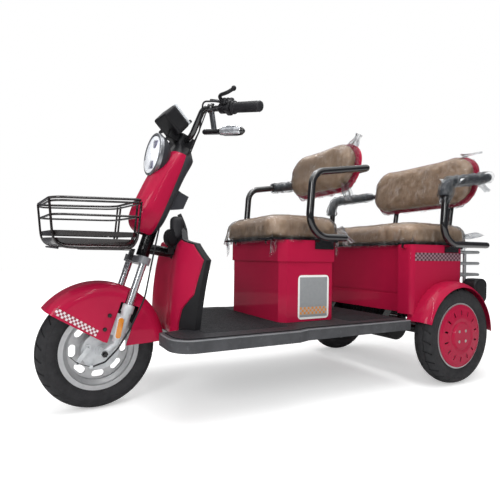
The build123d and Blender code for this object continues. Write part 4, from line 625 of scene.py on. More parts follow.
def back_film(name, pad, shell_node, foot, body, seed):
    """A film bag pulled down over a backrest; it clings to the pad, hides the shell's foot and hangs open below."""
    bag = joined(name, [copied(f"{name}_pad", pad, Matrix()), from_node(f"{name}_shell", shell_node, 0.0)])
    modify(bag, "REMESH", mode="VOXEL", voxel_size=0.009)
    low = min(vertex.co.z for vertex in bag.data.vertices)
    lean = math.tan(BACK_LEAN)
    with editing(bag):
        bpy.ops.mesh.select_all(action="SELECT")
        bpy.ops.transform.shrink_fatten(value=0.003)
        pick(bag, "FACE", lambda middle: middle.z > low + 0.035
             and middle.x > foot[0] + (middle.z - foot[1]) * lean + 0.050)
        bpy.ops.mesh.delete(type="FACE")
        pick(bag, "FACE", lambda middle: middle.z < low + 0.001)
        bpy.ops.mesh.delete(type="FACE")
    modify(bag, "SUBSURF", levels=1, render_levels=1)
    ends = max(abs(vertex.co.y) for vertex in bag.data.vertices)
    shift = Vector((seed, seed * 2.3, seed * 4.1))
    normals = [vertex.normal.copy() for vertex in bag.data.vertices]
    for vertex, normal in zip(bag.data.vertices, normals):
        where = vertex.co * 1000
        left, right = max(0.0, -vertex.co.y / ends - 0.55), max(0.0, vertex.co.y / ends - 0.7)
        loose = 1.0 + 9.0 * left / 0.45 + 5.0 * right / 0.3
        fold = abs(noise.noise(Vector((where.x / 40, where.y / 20, where.z / 60)) + shift))
        fold += 0.5 * abs(noise.noise(where / 15 + shift))
        sag = max(0.0, 1 - (vertex.co.z - low) / 0.030)
        vertex.co += normal * fold * loose * MM
        vertex.co.z -= sag * (0.010 + 0.009 * noise.noise(Vector((where.y / 33, seed, 0))))
    return finished_film(bag, body)


def film_tuft(name, body, root, tip, width, pleats, seed, taper=0.72):
    """A bunched end of the film: a flattened, pleated horn."""
    root, tip = Vector(root), Vector(tip)
    along = tip - root
    place = looking(root, along)
    tuft = primitive("cylinder", name, vertices=72, radius=1, depth=1, end_fill_type="NOTHING",
                     location=(0, 0, 0.5))
    settle(tuft)
    with editing(tuft):
        bpy.ops.mesh.select_all(action="SELECT")
        pick(tuft, "EDGE", lambda middle: 0.2 < middle.z < 0.8)
        bpy.ops.mesh.subdivide(number_cuts=18)
    for vertex in tuft.data.vertices:
        up = vertex.co.z
        turn = math.atan2(vertex.co.y, vertex.co.x)
        reach = width * (1 - taper * up ** 0.7) * (1 + 0.25 * math.sin(5 * up + seed))
        reach *= 1 + 0.34 * math.sin(pleats * turn + 2.5 * up + seed) + 0.15 * math.sin(2.7 * pleats * turn - seed)
        bend = 0.12 * math.sin(3 * up + seed)
        vertex.co = Vector((reach * math.cos(turn) + bend * width, 0.45 * reach * math.sin(turn),
                            up * along.length))
    settle(tuft, place)
    return finished_film(tuft, body)


def sleeve(name, body, points, bar, seed):
    """A foam sleeve slipped over an arm tube, wrapped in crumpled film."""
    foam = wire(name + "_foam", points, bar + 0.010, resolution=10)
    modify(foam, "SUBSURF", levels=1, render_levels=1)
    creased(foam, 60, 2.5, seed)
    dress(foam, body, FOAM, 0)
    wrap = wire(name + "_film", points, bar + 0.018, resolution=14)
    modify(wrap, "SUBSURF", levels=1, render_levels=1)
    creased(wrap, 34, 9.0, seed + 3)
    finished_film(wrap, body)


# Extruded polyethylene foam tube: dark grey, closed cells, slightly soft shine.
FOAM = surface("extruded_foam_grey", "#2E3236", "#484C51", (0.6, 0.75), 26, grain=(3.0, 0.5), IOR=1.45)

seat_film("front_cushion_film", front_cushion, "front_lid", 0.092, [])
seat_film("rear_cushion_film", rear_cushion, "rear_lid", 0.088, [])
back_film("front_back_film", front_pad, "front_back_shell", (0.192, 0.829), "root", 3.0)
back_film("rear_back_film", rear_pad, "rear_back_shell", (0.871, 0.800), "root", 8.0)

ARM = 0.028
sleeve("rear_left_arm_sleeve", "root", [(0.612, -0.331, 0.800), (0.622, -0.331, 0.846), (0.652, -0.331, 0.864),
                                        (0.760, -0.331, 0.880), (0.860, -0.331, 0.897), (0.925, -0.326, 0.908)],
       ARM, 2)
sleeve("rear_right_arm_sleeve", "root", [(0.610, 0.331, 0.780), (0.622, 0.331, 0.846), (0.652, 0.331, 0.864),
                                         (0.760, 0.331, 0.880), (0.860, 0.331, 0.897), (0.925, 0.326, 0.908)],
       ARM, 5)
sleeve("front_right_arm_sleeve", "root", [(0.130, 0.231, 0.881), (0.180, 0.231, 0.889), (0.232, 0.230, 0.898),
                                          (0.262, 0.220, 0.904)], ARM, 9)
film_tuft("front_back_tuft", "root", (0.262, -0.160, 1.004), (0.268, -0.192, 1.052), 0.020, 5, 1.0,
          taper=0.1)
film_tuft("rear_back_tuft", "root", (0.915, -0.215, 1.030), (0.938, -0.298, 1.034), 0.019, 5, 2.6)
film_tuft("rear_left_arm_wing", "root", (0.668, -0.334, 0.882), (0.604, -0.338, 0.772), 0.042, 4, 3.3,
          taper=0.6)
film_tuft("rear_left_arm_flap", "root", (0.840, -0.333, 0.885), (0.905, -0.338, 0.842), 0.020, 4, 1.7,
          taper=0.5)
film_tuft("front_back_corner_film", "root", (0.222, -0.165, 0.850), (0.226, -0.178, 0.776), 0.026, 4, 4.4,
          taper=0.3)
film_tuft("front_cushion_flap", "front_lid", (0.168, -0.186, 0.655), (0.208, -0.205, 0.588), 0.024, 4, 2.2,
          taper=-0.2)
film_tuft("rear_cushion_tip", "rear_lid", (0.868, -0.272, 0.640), (0.972, -0.288, 0.648), 0.034, 4, 5.1)


# ---------------------------------------------------------------- printed strips and the blank label
def chequer(name, columns, rows, pale, dark):
    """Screen-printed chequers in gloss ink: crisp pale and dark squares, a little worn."""
    made, tree, where = blank(name)
    across = add(tree, "ShaderNodeTexCoord")
    grid = add(tree, "ShaderNodeMapping", {"Vector": across.outputs["UV"], "Scale": (columns, rows, 1)})
    squares = add(tree, "ShaderNodeTexChecker", {"Vector": grid, "Scale": 1.0, "Color1": hex_colour(pale),
                                                 "Color2": hex_colour(dark)})
    ink = add(tree, "ShaderNodeTexNoise", {"Vector": where, "Scale": 1 / 4, "Detail": 4.0})
    worn = add(tree, "ShaderNodeMapRange", {"Value": ink.outputs["Fac"], "To Max": 0.16})
    tint = add(tree, "ShaderNodeMix", {0: worn, 6: squares, 7: hex_colour("#7A5C64")}, data_type="RGBA")
    rough = add(tree, "ShaderNodeMapRange", {"Value": ink.outputs["Fac"], "To Min": 0.26, "To Max": 0.4})
    skin = add(tree, "ShaderNodeBsdfPrincipled", {"Base Color": tint.outputs[2], "Roughness": rough, "IOR": 1.5})
    add(tree, "ShaderNodeOutputMaterial", {"Surface": skin})
    return made


def strip(name, node, body, start, end, up, finish, direction, cells=(40, 4), bow=0.0):
    """A printed strip laid on a panel between two points, `up` high, pressed on along a direction."""
    start, end, up = Vector(start), Vector(end), Vector(up)
    made = primitive("grid", name, x_subdivisions=cells[0], y_subdivisions=cells[1], size=1)
    with editing(made):
        bpy.ops.mesh.select_all(action="SELECT")
        bpy.ops.mesh.delete_loose()
    for vertex in made.data.vertices:
        u, v = vertex.co.x + 0.5, vertex.co.y + 0.5
        vertex.co = start + (end - start) * u + up * (v + bow * 4 * u * (1 - u))
    settle(made)
    only(made)
    wrap = made.modifiers.new("press", "SHRINKWRAP")
    wrap.target = nodes[node]
    wrap.wrap_method = "PROJECT"
    wrap.use_project_x = abs(direction.x) > 0.5
    wrap.use_project_y = abs(direction.y) > 0.5
    wrap.use_project_z = abs(direction.z) > 0.5
    wrap.use_negative_direction = True
    wrap.use_positive_direction = True
    wrap.project_limit = 0.06
    wrap.offset = 0.0006
    bpy.ops.object.modifier_apply(modifier=wrap.name)
    return dress(made, body, finish, 40)


def guard_strips():
    """Three-row chequer band above the lower edge of the front mudguard, on both sides."""
    for side in (-1, 1):
        finish = chequer(f"screen_printed_guard_{'left' if side < 0 else 'right'}", 20, 3, "#E6DADE", "#8E1636")
        start = STEER_TURN @ Vector((-0.924, side * 0.074, 0.3497))
        end = STEER_TURN @ Vector((-0.793, side * 0.074, 0.266))
        up = STEER_TURN.to_3x3() @ Vector((0.0100, 0, 0.019))
        strip(f"guard_chequer_{'left' if side < 0 else 'right'}", "front_mudguard", "steering", start, end, up,
              finish, Vector((0, 1, 0)), (36, 4))


def body_strips():
    """Chequer band high on each side of the rear body."""
    for side in (-1, 1):
        finish = chequer(f"screen_printed_body_{'left' if side < 0 else 'right'}", 26, 4, "#9C7C86", "#3C1420")
        strip(f"body_chequer_{'left' if side < 0 else 'right'}", "rear_body", "root",
              (0.452, side * 0.312, 0.524), (0.764, side * 0.312, 0.524), (0, 0, 0.034), finish,
              Vector((0, 1, 0)), (20, 3))


def label_material():
    """Printed vinyl label: grey field, white border and an orange chequer band, with nothing written on it."""
    made, tree, where = blank("printed_vinyl_label")
    across = add(tree, "ShaderNodeTexCoord").outputs["UV"]
    parts = add(tree, "ShaderNodeSeparateXYZ", {"Vector": across})
    grid = add(tree, "ShaderNodeMapping", {"Vector": across, "Scale": (16, 18, 1)})
    squares = add(tree, "ShaderNodeTexChecker", {"Vector": grid, "Scale": 1.0, "Color1": hex_colour("#D98A34"),
                                                 "Color2": hex_colour("#A9A9A5")})
    ink = add(tree, "ShaderNodeTexNoise", {"Vector": where, "Scale": 1 / 12, "Detail": 4.0})
    band = add(tree, "ShaderNodeMath", {0: parts.outputs[1], 1: 0.19, 2: 0.085}, operation="COMPARE")
    field = add(tree, "ShaderNodeMix", {0: ink.outputs["Fac"], 6: hex_colour("#898C8E"), 7: hex_colour("#999C9E")},
                data_type="RGBA")
    inside = add(tree, "ShaderNodeMix", {0: band, 6: field.outputs[2], 7: squares}, data_type="RGBA")
    edge_u = add(tree, "ShaderNodeMath", {0: parts.outputs[0], 1: 0.5, 2: 0.445}, operation="COMPARE")
    edge_v = add(tree, "ShaderNodeMath", {0: parts.outputs[1], 1: 0.5, 2: 0.452}, operation="COMPARE")
    both = add(tree, "ShaderNodeMath", {0: edge_u, 1: edge_v}, operation="MULTIPLY")
    tint = add(tree, "ShaderNodeMix", {0: both, 6: hex_colour("#F2F2F0"), 7: inside.outputs[2]}, data_type="RGBA")
    rough = add(tree, "ShaderNodeMapRange", {"Value": ink.outputs["Fac"], "To Min": 0.25, "To Max": 0.42})
    skin = add(tree, "ShaderNodeBsdfPrincipled", {"Base Color": tint.outputs[2], "Roughness": rough, "IOR": 1.5})
    add(tree, "ShaderNodeOutputMaterial", {"Surface": skin})
    return made


def box_labels():
    """A plain label low on each side of the seat box, with rounded corners."""
    finish = label_material()
    for side in (-1, 1):
        made = strip(f"box_label_{'left' if side < 0 else 'right'}", "seat_box", "root",
                     (-0.045, side * 0.206, 0.292), (0.108, side * 0.206, 0.292), (0, 0, 0.172), finish,
                     Vector((0, 1, 0)), (3, 3))
        with editing(made):
            pick(made, "VERT", lambda middle: (abs(middle.x + 0.045) < 0.002 or abs(middle.x - 0.108) < 0.002)
                 and (abs(middle.z - 0.292) < 0.002 or abs(middle.z - 0.464) < 0.002))
            bpy.ops.mesh.bevel(offset=0.016, segments=5, affect="VERTICES")


guard_strips()
body_strips()
box_labels()


# ---------------------------------------------------------------- lamp, meter and turn lamps
# Vacuum-metallised reflector: bright and soft-edged.
MIRROR = surface("vacuum_metallised_reflector", "#F1F2F4", "#E2E4E8", (0.12, 0.2), 14, Metallic=1.0)
# Opal diffuser over the lamp's light-emitting diodes: milk white, satin, with a faint painted glow though the lamp is
# switched off.
OPAL_PAINTED_GLOW = surface("opal_diffuser_white_painted_glow", "#F7F8FA", "#F0F1F4", (0.3, 0.4), 18, IOR=1.49,
               Emission_Color=(0.9, 0.92, 0.95, 1), Emission_Strength=0.28)
# Violet-grey coated projector windows.
COATED = surface("coated_projector_glass_violet", "#4A4766", "#6E6C8C", (0.08, 0.14), 22,
                 Coat_Weight=1.0, Coat_Roughness=0.03, IOR=1.6)
# Amber acrylic.
AMBER = surface("moulded_acrylic_amber", "#D98A22", "#C47410", (0.14, 0.24), 16, Coat_Weight=0.7,
                Coat_Roughness=0.05, IOR=1.49)
RUBY = surface("moulded_acrylic_ruby", "#8E0A12", "#A3121A", (0.12, 0.2), 16, Coat_Weight=0.7,
               Coat_Roughness=0.05, IOR=1.49)
# Frosted acrylic round the instrument's glass: pale where light gathers in its edge.
FROSTED = surface("frosted_acrylic_white", "#C4C8CD", "#D6DADE", (0.18, 0.28), 20, Coat_Weight=0.5,
                  Coat_Roughness=0.05, IOR=1.49)
# Ribbed lens, metallised behind: silver with fine bright lines.
RIBBED = surface("metallised_ribbed_lens", "#D5D8DC", "#B9BDC3", (0.12, 0.22), 9, Metallic=0.6,
                 Coat_Weight=1.0, Coat_Roughness=0.04)


def lamp_place(depth=0.0):
    """The headlamp's mouth; Z points forward out of it."""
    lean = RAKE - math.radians(11.4)
    forward = Vector((-math.cos(lean), 0, math.sin(lean)))
    side = Vector((0, 1, 0))
    turn = Matrix((side, forward.cross(side), forward)).transposed().to_4x4()
    centre = STEER_FOOT + STEER_BACK * -0.092 + STEER_UP * 0.726
    return STEER_TURN @ Matrix.Translation(centre) @ turn @ Matrix.Translation((0, 0, depth))


def headlamp_inside():
    """White light ring and domed white middle, which carry a faint painted glow, two coated windows and the bright
    bowl's edge.
    """
    face = turned("lamp_light_ring", [(0.0, 0.0005), (0.020, 0.0), (0.030, -0.003), (0.036, -0.0035),
                                      (0.060, -0.0035), (0.066, -0.0005), (0.0688, -0.0015), (0.0690, -0.0045),
                                      (0.040, -0.007), (0.0, -0.007)], steps=64)
    settle(face, lamp_place(-0.002))
    dress(face, "steering", OPAL_PAINTED_GLOW, 35)
    bowl = turned("lamp_bowl_edge", [(0.0665, 0.0), (0.0700, 0.0022), (0.0706, -0.003), (0.0665, -0.001),
                                     (0.0665, 0.0)], steps=64)
    settle(bowl, lamp_place(-0.001))
    dress(bowl, "steering", MIRROR, 35)
    for index, turn in enumerate((math.radians(168), math.radians(-8))):
        wedge = primitive("circle", f"lamp_window_{index}", vertices=4, radius=0.02, fill_type="NGON")
        corners = [(-0.011, 0.0), (0.011, 0.0), (0.021, 0.030), (-0.021, 0.030)]
        for vertex, (x, y) in zip(wedge.data.vertices, corners):
            vertex.co = Vector((x, y + 0.022, 0))
        with editing(wedge):
            bpy.ops.mesh.select_all(action="SELECT")
            bpy.ops.mesh.bevel(offset=0.0045, segments=4, affect="VERTICES")
            bpy.ops.mesh.select_all(action="SELECT")
            bpy.ops.mesh.extrude_region_move(TRANSFORM_OT_translate={"value": (0, 0, 0.0022)})
            bpy.ops.mesh.inset(thickness=0.0015, depth=0.0006)
            bpy.ops.mesh.select_all(action="SELECT")
            bpy.ops.mesh.normals_make_consistent(inside=False)
        settle(wedge, lamp_place(-0.0057) @ Matrix.Rotation(turn, 4, "Z"))
        dress(wedge, "steering", COATED, 30)


def meter_parts():
    """Instrument: black shell and neck, a clear-edged glass on the rider's face, dial rings and a reset knob."""
    place = FORK @ Matrix.Translation((-0.058, 0, 0.876)) @ Matrix.Rotation(math.radians(24.7), 4, "Y")
    shell = rounded("meter_shell", (0.092, 0.100, 0.061), (0, 0, -0.0045), 0.0085, 4)
    with editing(shell):
        pick(shell, "FACE", lambda middle: abs(abs(middle.y) - 0.05) < 1e-4)
        bpy.ops.mesh.inset(thickness=0.006, depth=-0.0008)
    settle(shell, place)
    neck = rounded("meter_neck", (0.039, 0.040, 0.030), (-0.0387, 0, 0.826), 0.004, 3, FORK)
    rib = rounded("meter_rib", (0.030, 0.012, 0.046), (-0.050, 0, 0.838), 0.004, 3, FORK)
    knob = turned("meter_knob", [(0.0, 0.0), (0.006, 0.0), (0.0066, 0.002), (0.0062, 0.009), (0.0, 0.010)],
                  place @ Matrix.Translation((0.0385, -0.040, 0.0345)), 24)
    body = joined("meter_shell", [shell, neck, rib, knob])
    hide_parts("meter")
    dress(body, "steering", BLACK, 35)
    glass = rounded("meter_glass", (0.089, 0.097, 0.0085), (0, 0, 0.0305), 0.0035, 3, place)
    dress(glass, "steering", FROSTED, 35)
    face = rounded("meter_dial", (0.072, 0.080, 0.0016), (0, 0, 0.0349), 0.0006, 2)
    rings = [turned(f"meter_ring_{index}", [(radius, 0.0355), (radius + 0.0012, 0.0362), (radius + 0.0024, 0.0355),
                                            (radius, 0.0355)], Matrix.Translation((0, offset, 0)), 40)
             for index, (radius, offset) in enumerate(((0.022, 0.0), (0.006, 0.031), (0.006, -0.031)))]
    dial = joined("meter_dial", [face, *rings])
    settle(dial, place)
    dress(dial, "steering", COATED, 35)


LENS_TURN = math.radians(48)


def turn_lamps():
    """Turn lamps: a clamp on the bar, a broad bracket, a slim tube and a flared body with a ribbed lens."""
    bodies, brackets, lenses = [], [], []
    for side, name in ((-1, "left"), (1, "right")):
        inner, outer = fork(34, side * 112, 855), fork(98, side * 262, 853)
        length = (outer - inner).length
        up = FORK.to_3x3() @ Vector((0, 0, 1))
        place = between(inner, outer, up)
        bodies.append(turned(f"turn_body_{name}", [
            (0.0, -0.010), (0.007, -0.0085), (0.0100, -0.003), (0.0102, 0.003), (0.0102, 0.066), (0.0125, 0.070),
            (0.0132, 0.078), (0.0155, 0.090), (0.0160, length - 0.024), (0.0135, length - 0.004),
            (0.006, length + 0.006), (0.0, length + 0.008)], place, 32))
        foot = fork(10, side * 151, 924)
        knee = inner + (outer - inner) * 0.26
        height = (knee - foot).length
        bracket = rounded(f"turn_bracket_{name}", (0.011, 0.025, height), (0, 0, height / 2), 0.0045, 3,
                          between(foot, knee, STEER_TURN.to_3x3() @ STEER_BACK))
        brackets.append(bracket)
        along = (fork(36, side * 186, 929) - fork(-8, side * 126, 920)).normalized()
        bodies.append(turned(f"turn_clamp_{name}", [
            (0.0114, -0.009), (0.0165, -0.009), (0.0175, -0.007), (0.0175, 0.007), (0.0165, 0.009),
            (0.0114, 0.009), (0.0114, -0.009)], looking(foot, along), 32))
        lens = turned(f"turn_lens_{name}", [(0.0135, 0.074), (0.0150, 0.0765), (0.0178, 0.088), (0.0186, 0.100),
                                            (0.0180, length - 0.026), (0.0150, length - 0.006),
                                            (0.0120, length - 0.003), (0.0135, 0.074)], steps=40)
        with editing(lens):
            bpy.ops.mesh.select_all(action="SELECT")
            facing = Vector((math.cos(LENS_TURN), side * math.sin(LENS_TURN), 0))
            bpy.ops.mesh.bisect(plane_co=-0.005 * facing, plane_no=facing, clear_inner=True, use_fill=True)
            pick(lens, "FACE", lambda middle: 0.100 < middle.z < length - 0.028
                 and math.hypot(middle.x, middle.y) > 0.0175)
            bpy.ops.mesh.inset(thickness=0.0007, use_individual=True)
            bpy.ops.mesh.extrude_region_shrink_fatten(TRANSFORM_OT_shrink_fatten={"value": 0.0012})
            bpy.ops.mesh.select_all(action="SELECT")
            bpy.ops.mesh.normals_make_consistent(inside=False)
        settle(lens, place)
        lenses.append(lens)
    made = joined("turn_lamp_bodies", bodies)
    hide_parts("indicators")
    dress(made, "steering", GLOSS_BLACK, 35)
    dress(joined("turn_lamp_brackets", brackets), "steering", SATIN_GREY, 35)
    dress(joined("turn_lamp_lenses", lenses), "steering", RIBBED, 30)


def grips():
    """Rubber grips with a diamond tread, a flange at the control and a domed end."""
    made = []
    for side, name in ((-1, "left"), (1, "right")):
        end, shoulder = fork(90, side * 336, 917), fork(36, side * 186, 929)
        profile = [(0.0, -0.006), (0.010, -0.0055), (0.0155, -0.003), (0.0178, 0.002)]
        profile += [(0.0168, 0.005 + 0.0045 * index) for index in range(22)]
        profile += [(0.0175, 0.1025), (0.0215, 0.104), (0.0222, 0.107), (0.0215, 0.111), (0.012, 0.112)]
        grip = turned(f"grip_{name}", profile, steps=30)

        def lug(middle):
            row = int((middle.z - 0.005) / 0.0045)
            turn = int((math.atan2(middle.y, middle.x) % (2 * math.pi)) / (2 * math.pi) * 30)
            return 0 < row < 20 and (turn + row) % 3 != 0 and math.hypot(middle.x, middle.y) > 0.0155

        with editing(grip):
            pick(grip, "FACE", lug)
            bpy.ops.mesh.inset(thickness=0.0004, use_individual=True)
            bpy.ops.mesh.extrude_region_shrink_fatten(TRANSFORM_OT_shrink_fatten={"value": 0.0007})
        settle(grip, between(end, shoulder, FORK.to_3x3() @ Vector((0, 0, 1))))
        made.append(grip)
    grips = joined("grips_moulded", made)
    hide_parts("grips")
    dress(grips, "steering", RUBBER, 35)


def hand_controls():
    """Switch blocks, lever perches, mirror bosses and bent levers with ball ends."""
    parts = []
    for side, name in ((-1, "left"), (1, "right")):
        end, shoulder = fork(90, side * 336, 917), fork(36, side * 186, 929)
        place = between(end, shoulder, FORK.to_3x3() @ Vector((0, 0, 1)))
        block = rounded(f"switch_{name}", (0.041, 0.044, 0.027), (0, 0, 0.1305), 0.009, 4)
        with editing(block):
            pick(block, "FACE", lambda middle: middle.x > 0.0200 or middle.x < -0.0200)
            bpy.ops.mesh.inset(thickness=0.004, depth=-0.0012)
        settle(block, place)
        perch = turned(f"perch_{name}", [(0.0114, 0.147), (0.0175, 0.147), (0.0190, 0.149), (0.0190, 0.166),
                                         (0.0175, 0.168), (0.0114, 0.168), (0.0114, 0.147)], place, 28)
        face = place @ looking((0.004, 0, 0.1305), (0, -side, 0)) @ Matrix.Translation((0, 0, 0.021))
        button = turned(f"button_{name}", [(0.0, 0.0), (0.0062, 0.0), (0.0062, 0.004), (0.0045, 0.0055),
                                           (0.0, 0.006)], face, 20)
        toggle = rounded(f"toggle_{name}", (0.014, 0.006, 0.008), (0.0225, 0, 0.130), 0.0018, 2, place)
        pivot = fork(22, side * 214, 935)
        boss = turned(f"mirror_boss_{name}", [(0.0041, 0.0), (0.0086, 0.0), (0.0086, 0.019), (0.0078, 0.0205),
                                              (0.0041, 0.0205), (0.0041, 0.0)],
                      looking(fork(46.1, side * 214.1, 940.8), FORK.to_3x3() @ Vector((0, 0, 1))), 24)
        eye = turned(f"lever_eye_{name}", [(0.0, -0.011), (0.0088, -0.011), (0.0100, -0.0095), (0.0100, 0.0095),
                                           (0.0088, 0.011), (0.0, 0.011)],
                     looking(pivot, FORK.to_3x3() @ Vector((0, 0, 1))), 24)
        lever = wire(f"lever_{name}", [pivot, fork(2, side * 212, 937), fork(-10, side * 232, 936),
                                       fork(-10, side * 262, 930), fork(-3, side * 276, 936),
                                       fork(4, side * 284, 948)], 0.0125, resolution=10)
        adjuster = wire(f"adjuster_{name}", [fork(22, side * 205, 938), fork(4, side * 180, 941),
                                             fork(-4, side * 158, 945)], 0.0105, resolution=6)
        latch = rounded(f"latch_{name}", (0.013, 0.020, 0.014), (0.024, 0.006, 0.139), 0.003, 2, place)
        ball = primitive("uv_sphere", f"lever_ball_{name}", segments=20, ring_count=12, radius=0.0085,
                         location=fork(5, side * 285, 950))
        settle(ball)
        link = rounded(f"perch_arm_{name}", (0.022, 0.016, 0.030), (0.0165, 0.004, 0.157), 0.005, 3, place)
        parts += [block, perch, button, toggle, boss, eye, lever, adjuster, latch, ball, link]
    made = joined("hand_controls_moulded", parts)
    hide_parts("hand_controls")
    dress(made, "steering", BLACK, 35)


headlamp_inside()
meter_parts()
turn_lamps()
grips()
hand_controls()


# ---------------------------------------------------------------- basket
# Brown-black dipped enamel: thick and glossy over bars and tray.
BASKET_ENAMEL = surface("dipped_enamel_brown_black", "#131112", "#221C1B", (0.22, 0.34), 40, ripple=(5.0, 0.02),
                        Coat_Weight=0.5, Coat_Roughness=0.06, Specular_IOR_Level=0.5, IOR=1.5)

BASKET_FRONT, BASKET_BACK, BASKET_HALF, BASKET_ROUND = -0.950, -0.662, 0.158, 0.042


def basket_loop(name, height, inset, bar):
    """A hoop of the basket: a rounded rectangle, level along the bottom and rising to the back at the rim."""
    front, back, half = BASKET_FRONT + inset, BASKET_BACK - inset, BASKET_HALF - inset
    points = []
    for x, y, turn in ((front, -half, 180), (back, -half, 270), (back, half, 0), (front, half, 90)):
        middle = Vector((x + math.copysign(BASKET_ROUND, BASKET_BACK - 0.1 - x),
                         y - math.copysign(BASKET_ROUND, y)))
        for step in range(6):
            angle = math.radians(turn + 18 * step)
            corner = middle + BASKET_ROUND * Vector((math.cos(angle), math.sin(angle)))
            rise = 0.014 * (corner.x - BASKET_FRONT) * max(0.0, height - 0.6) / 0.03
            points.append(Vector((corner.x, corner.y, height + rise)))
    return wire(name, points, bar, "POLY", cyclic=True)


def basket_band(name, heights, insets):
    """A sheet-metal band round the basket, through loops at these heights."""
    band = basket_loop(name, heights[0], insets[0], 0.0)
    with editing(band):
        bpy.ops.mesh.select_all(action="SELECT")
        bpy.ops.mesh.remove_doubles(threshold=0.0001)
        for index in range(1, len(heights)):
            rise = heights[index] - heights[index - 1]
            bpy.ops.mesh.extrude_region_move(TRANSFORM_OT_translate={"value": (0, 0, rise)})
            narrower = (BASKET_HALF - insets[index]) / (BASKET_HALF - insets[index - 1])
            bpy.ops.transform.resize(value=(narrower, narrower, 1),
                                     center_override=((BASKET_FRONT + BASKET_BACK) / 2, 0, heights[index]))
    return band


def basket():
    """Steel basket: double rim, a hoop, a flat band, two hooped bars and a pressed tray on its bracket."""
    parts = [basket_loop("basket_rim", 0.7065, 0.001, 0.0085), basket_loop("basket_rim_lower", 0.6975, 0.003, 0.0065),
             basket_loop("basket_hoop", 0.658, 0.007, 0.0072)]
    band = basket_band("basket_band", (0.612, 0.597), (0.0105, 0.012))
    modify(band, "SOLIDIFY", thickness=0.004, offset=0)
    tray = basket_band("basket_tray", (0.590, 0.580, 0.571, 0.566, 0.5645), (0.013, 0.016, 0.024, 0.037, 0.055))
    with editing(tray):
        pick(tray, "VERT", lambda middle: middle.z < 0.5650)
        bpy.ops.mesh.edge_face_add()
    modify(tray, "SOLIDIFY", thickness=0.0022, offset=0)
    parts += [band, tray]
    for side in (-1, 1):
        for reach in (0.128, 0.092):
            y = side * reach
            path = [(-0.949, 0.705), (-0.944, 0.650), (-0.940, 0.604), (-0.935, 0.585), (-0.922, 0.568),
                    (-0.895, 0.560), (-0.800, 0.560), (-0.717, 0.560), (-0.690, 0.568), (-0.677, 0.585),
                    (-0.672, 0.604), (-0.668, 0.650), (-0.662, 0.716)]
            if reach < 0.1:
                path = path[-7:]
            points = [Vector((x, y, z)) for x, z in path]
            parts.append(wire(f"basket_bar_{side}_{reach}", points, 0.0075, resolution=5))
    for index, x in enumerate((-0.922, -0.690)):
        parts.append(wire(f"basket_cross_{index}", [Vector((x, -0.118, 0.5585)), Vector((x, 0.118, 0.5585))], 0.006))
    parts.append(rounded("basket_rail", (0.188, 0.046, 0.006), (-0.742, 0, 0.5550), 0.002, 2))
    crown_face = STEER_FOOT + STEER_BACK * -0.043 + STEER_UP * 0.328
    rail_end = STEER_FOOT + STEER_BACK * -0.043 + STEER_UP * 0.372
    plate = rounded("basket_plate", (0.006, 0.046, 0.044), (0, 0, 0.022), 0.002, 2,
                    between(crown_face, rail_end, -STEER_BACK))
    parts.append(plate)
    for side in (-0.021, 0.021):
        parts.append(wire(f"basket_riser_{side}", [
            Vector((-0.716, side, 0.5625)), Vector((-0.668, side, 0.5625)), Vector((-0.650, side, 0.566)),
            Vector((-0.641, side, 0.584)), Vector((-0.636, side, 0.612))], 0.0085, resolution=6))
    made = joined("basket_bars", parts)
    settle(made, STEER_TURN)
    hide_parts("basket")
    dress(made, "steering", BASKET_ENAMEL, 40)


basket()


# ---------------------------------------------------------------- fasteners and small fittings
def hub_bolts():
    """Four flanged bolts round the hub of each rear wheel."""
    for side, name in ((-1, "left"), (1, "right")):
        place = rear_wheel(side)
        parts = []
        for turn in range(4):
            angle = math.pi / 4 + turn * math.pi / 2
            parts.append(bolt(f"hub_bolt_{name}_{turn}", place @ Matrix.Translation(
                (0.030 * math.cos(angle), 0.030 * math.sin(angle), 0.0405)), 0.012, 0.006))
        made = joined(f"hub_bolts_{name}", parts)
        dress(made, f"rear_wheel_{name}", ZINC, 30)


def guard_bolts():
    parts = [bolt(f"guard_bolt_{side}_{index}", STEER_TURN @ looking((x, side * 0.0735, z), (0, side, 0)), 0.010,
                  0.004)
             for side in (-1, 1) for index, (x, z) in enumerate(((-0.747, 0.333), (-0.763, 0.287)))]
    dress(joined("guard_bolts", parts), "steering", BLACK_STEEL, 30)


def mat_ribs():
    """Raised ribs moulded into the floor mat, ahead of the seat box and behind it."""
    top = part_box("floor_mat")[1][2]
    first = primitive("cube", "mat_rib_front", size=1, location=(-0.300, MAT_RIB_Y, top + 0.0006))
    first.scale = (0.340, 0.0055, 0.0026)
    rear = primitive("cube", "mat_rib_rear", size=1, location=(0.292, MAT_RIB_Y, top + 0.0006))
    rear.scale = (0.256, 0.0055, 0.0026)
    ribs = []
    for rib in (first, rear):
        settle(rib)
        with editing(rib):
            pick(rib, "EDGE", lambda middle: middle.z > top + 0.0015)
            bpy.ops.mesh.bevel(offset=0.0012, segments=2)
        for index in range(1, MAT_RIBS):
            ribs.append(copied(f"{rib.name}_{index}", rib, Matrix.Translation((0, index * MAT_RIB_STEP, 0))))
        ribs.append(rib)
    dress(joined("mat_ribs", ribs), "root", RUBBER, 30)


def tray_lip():
    """Pale edge round the front and sides of the floor tray."""
    parts = []
    for side in (-1, 1):
        points = [(TRAY_FRONT, side * 0.200, LIP_Z)]
        for step in range(10):
            turn = math.radians(10 * step)
            points.append((TRAY_FRONT + TRAY_CORNER * (1 - math.cos(turn)),
                           side * (TRAY_HALF - TRAY_CORNER * (1 - math.sin(turn))), LIP_Z))
        points += [(-0.141, side * TRAY_HALF, LIP_Z), (-0.091, side * TRAY_REAR_HALF, LIP_Z),
                   (0.434, side * TRAY_REAR_HALF, LIP_Z)]
        parts.append(wire(f"lip_{side}", points, 0.0046, kind="POLY"))
    dress(joined("tray_lip", parts), "root", LIP_GREY, 40)


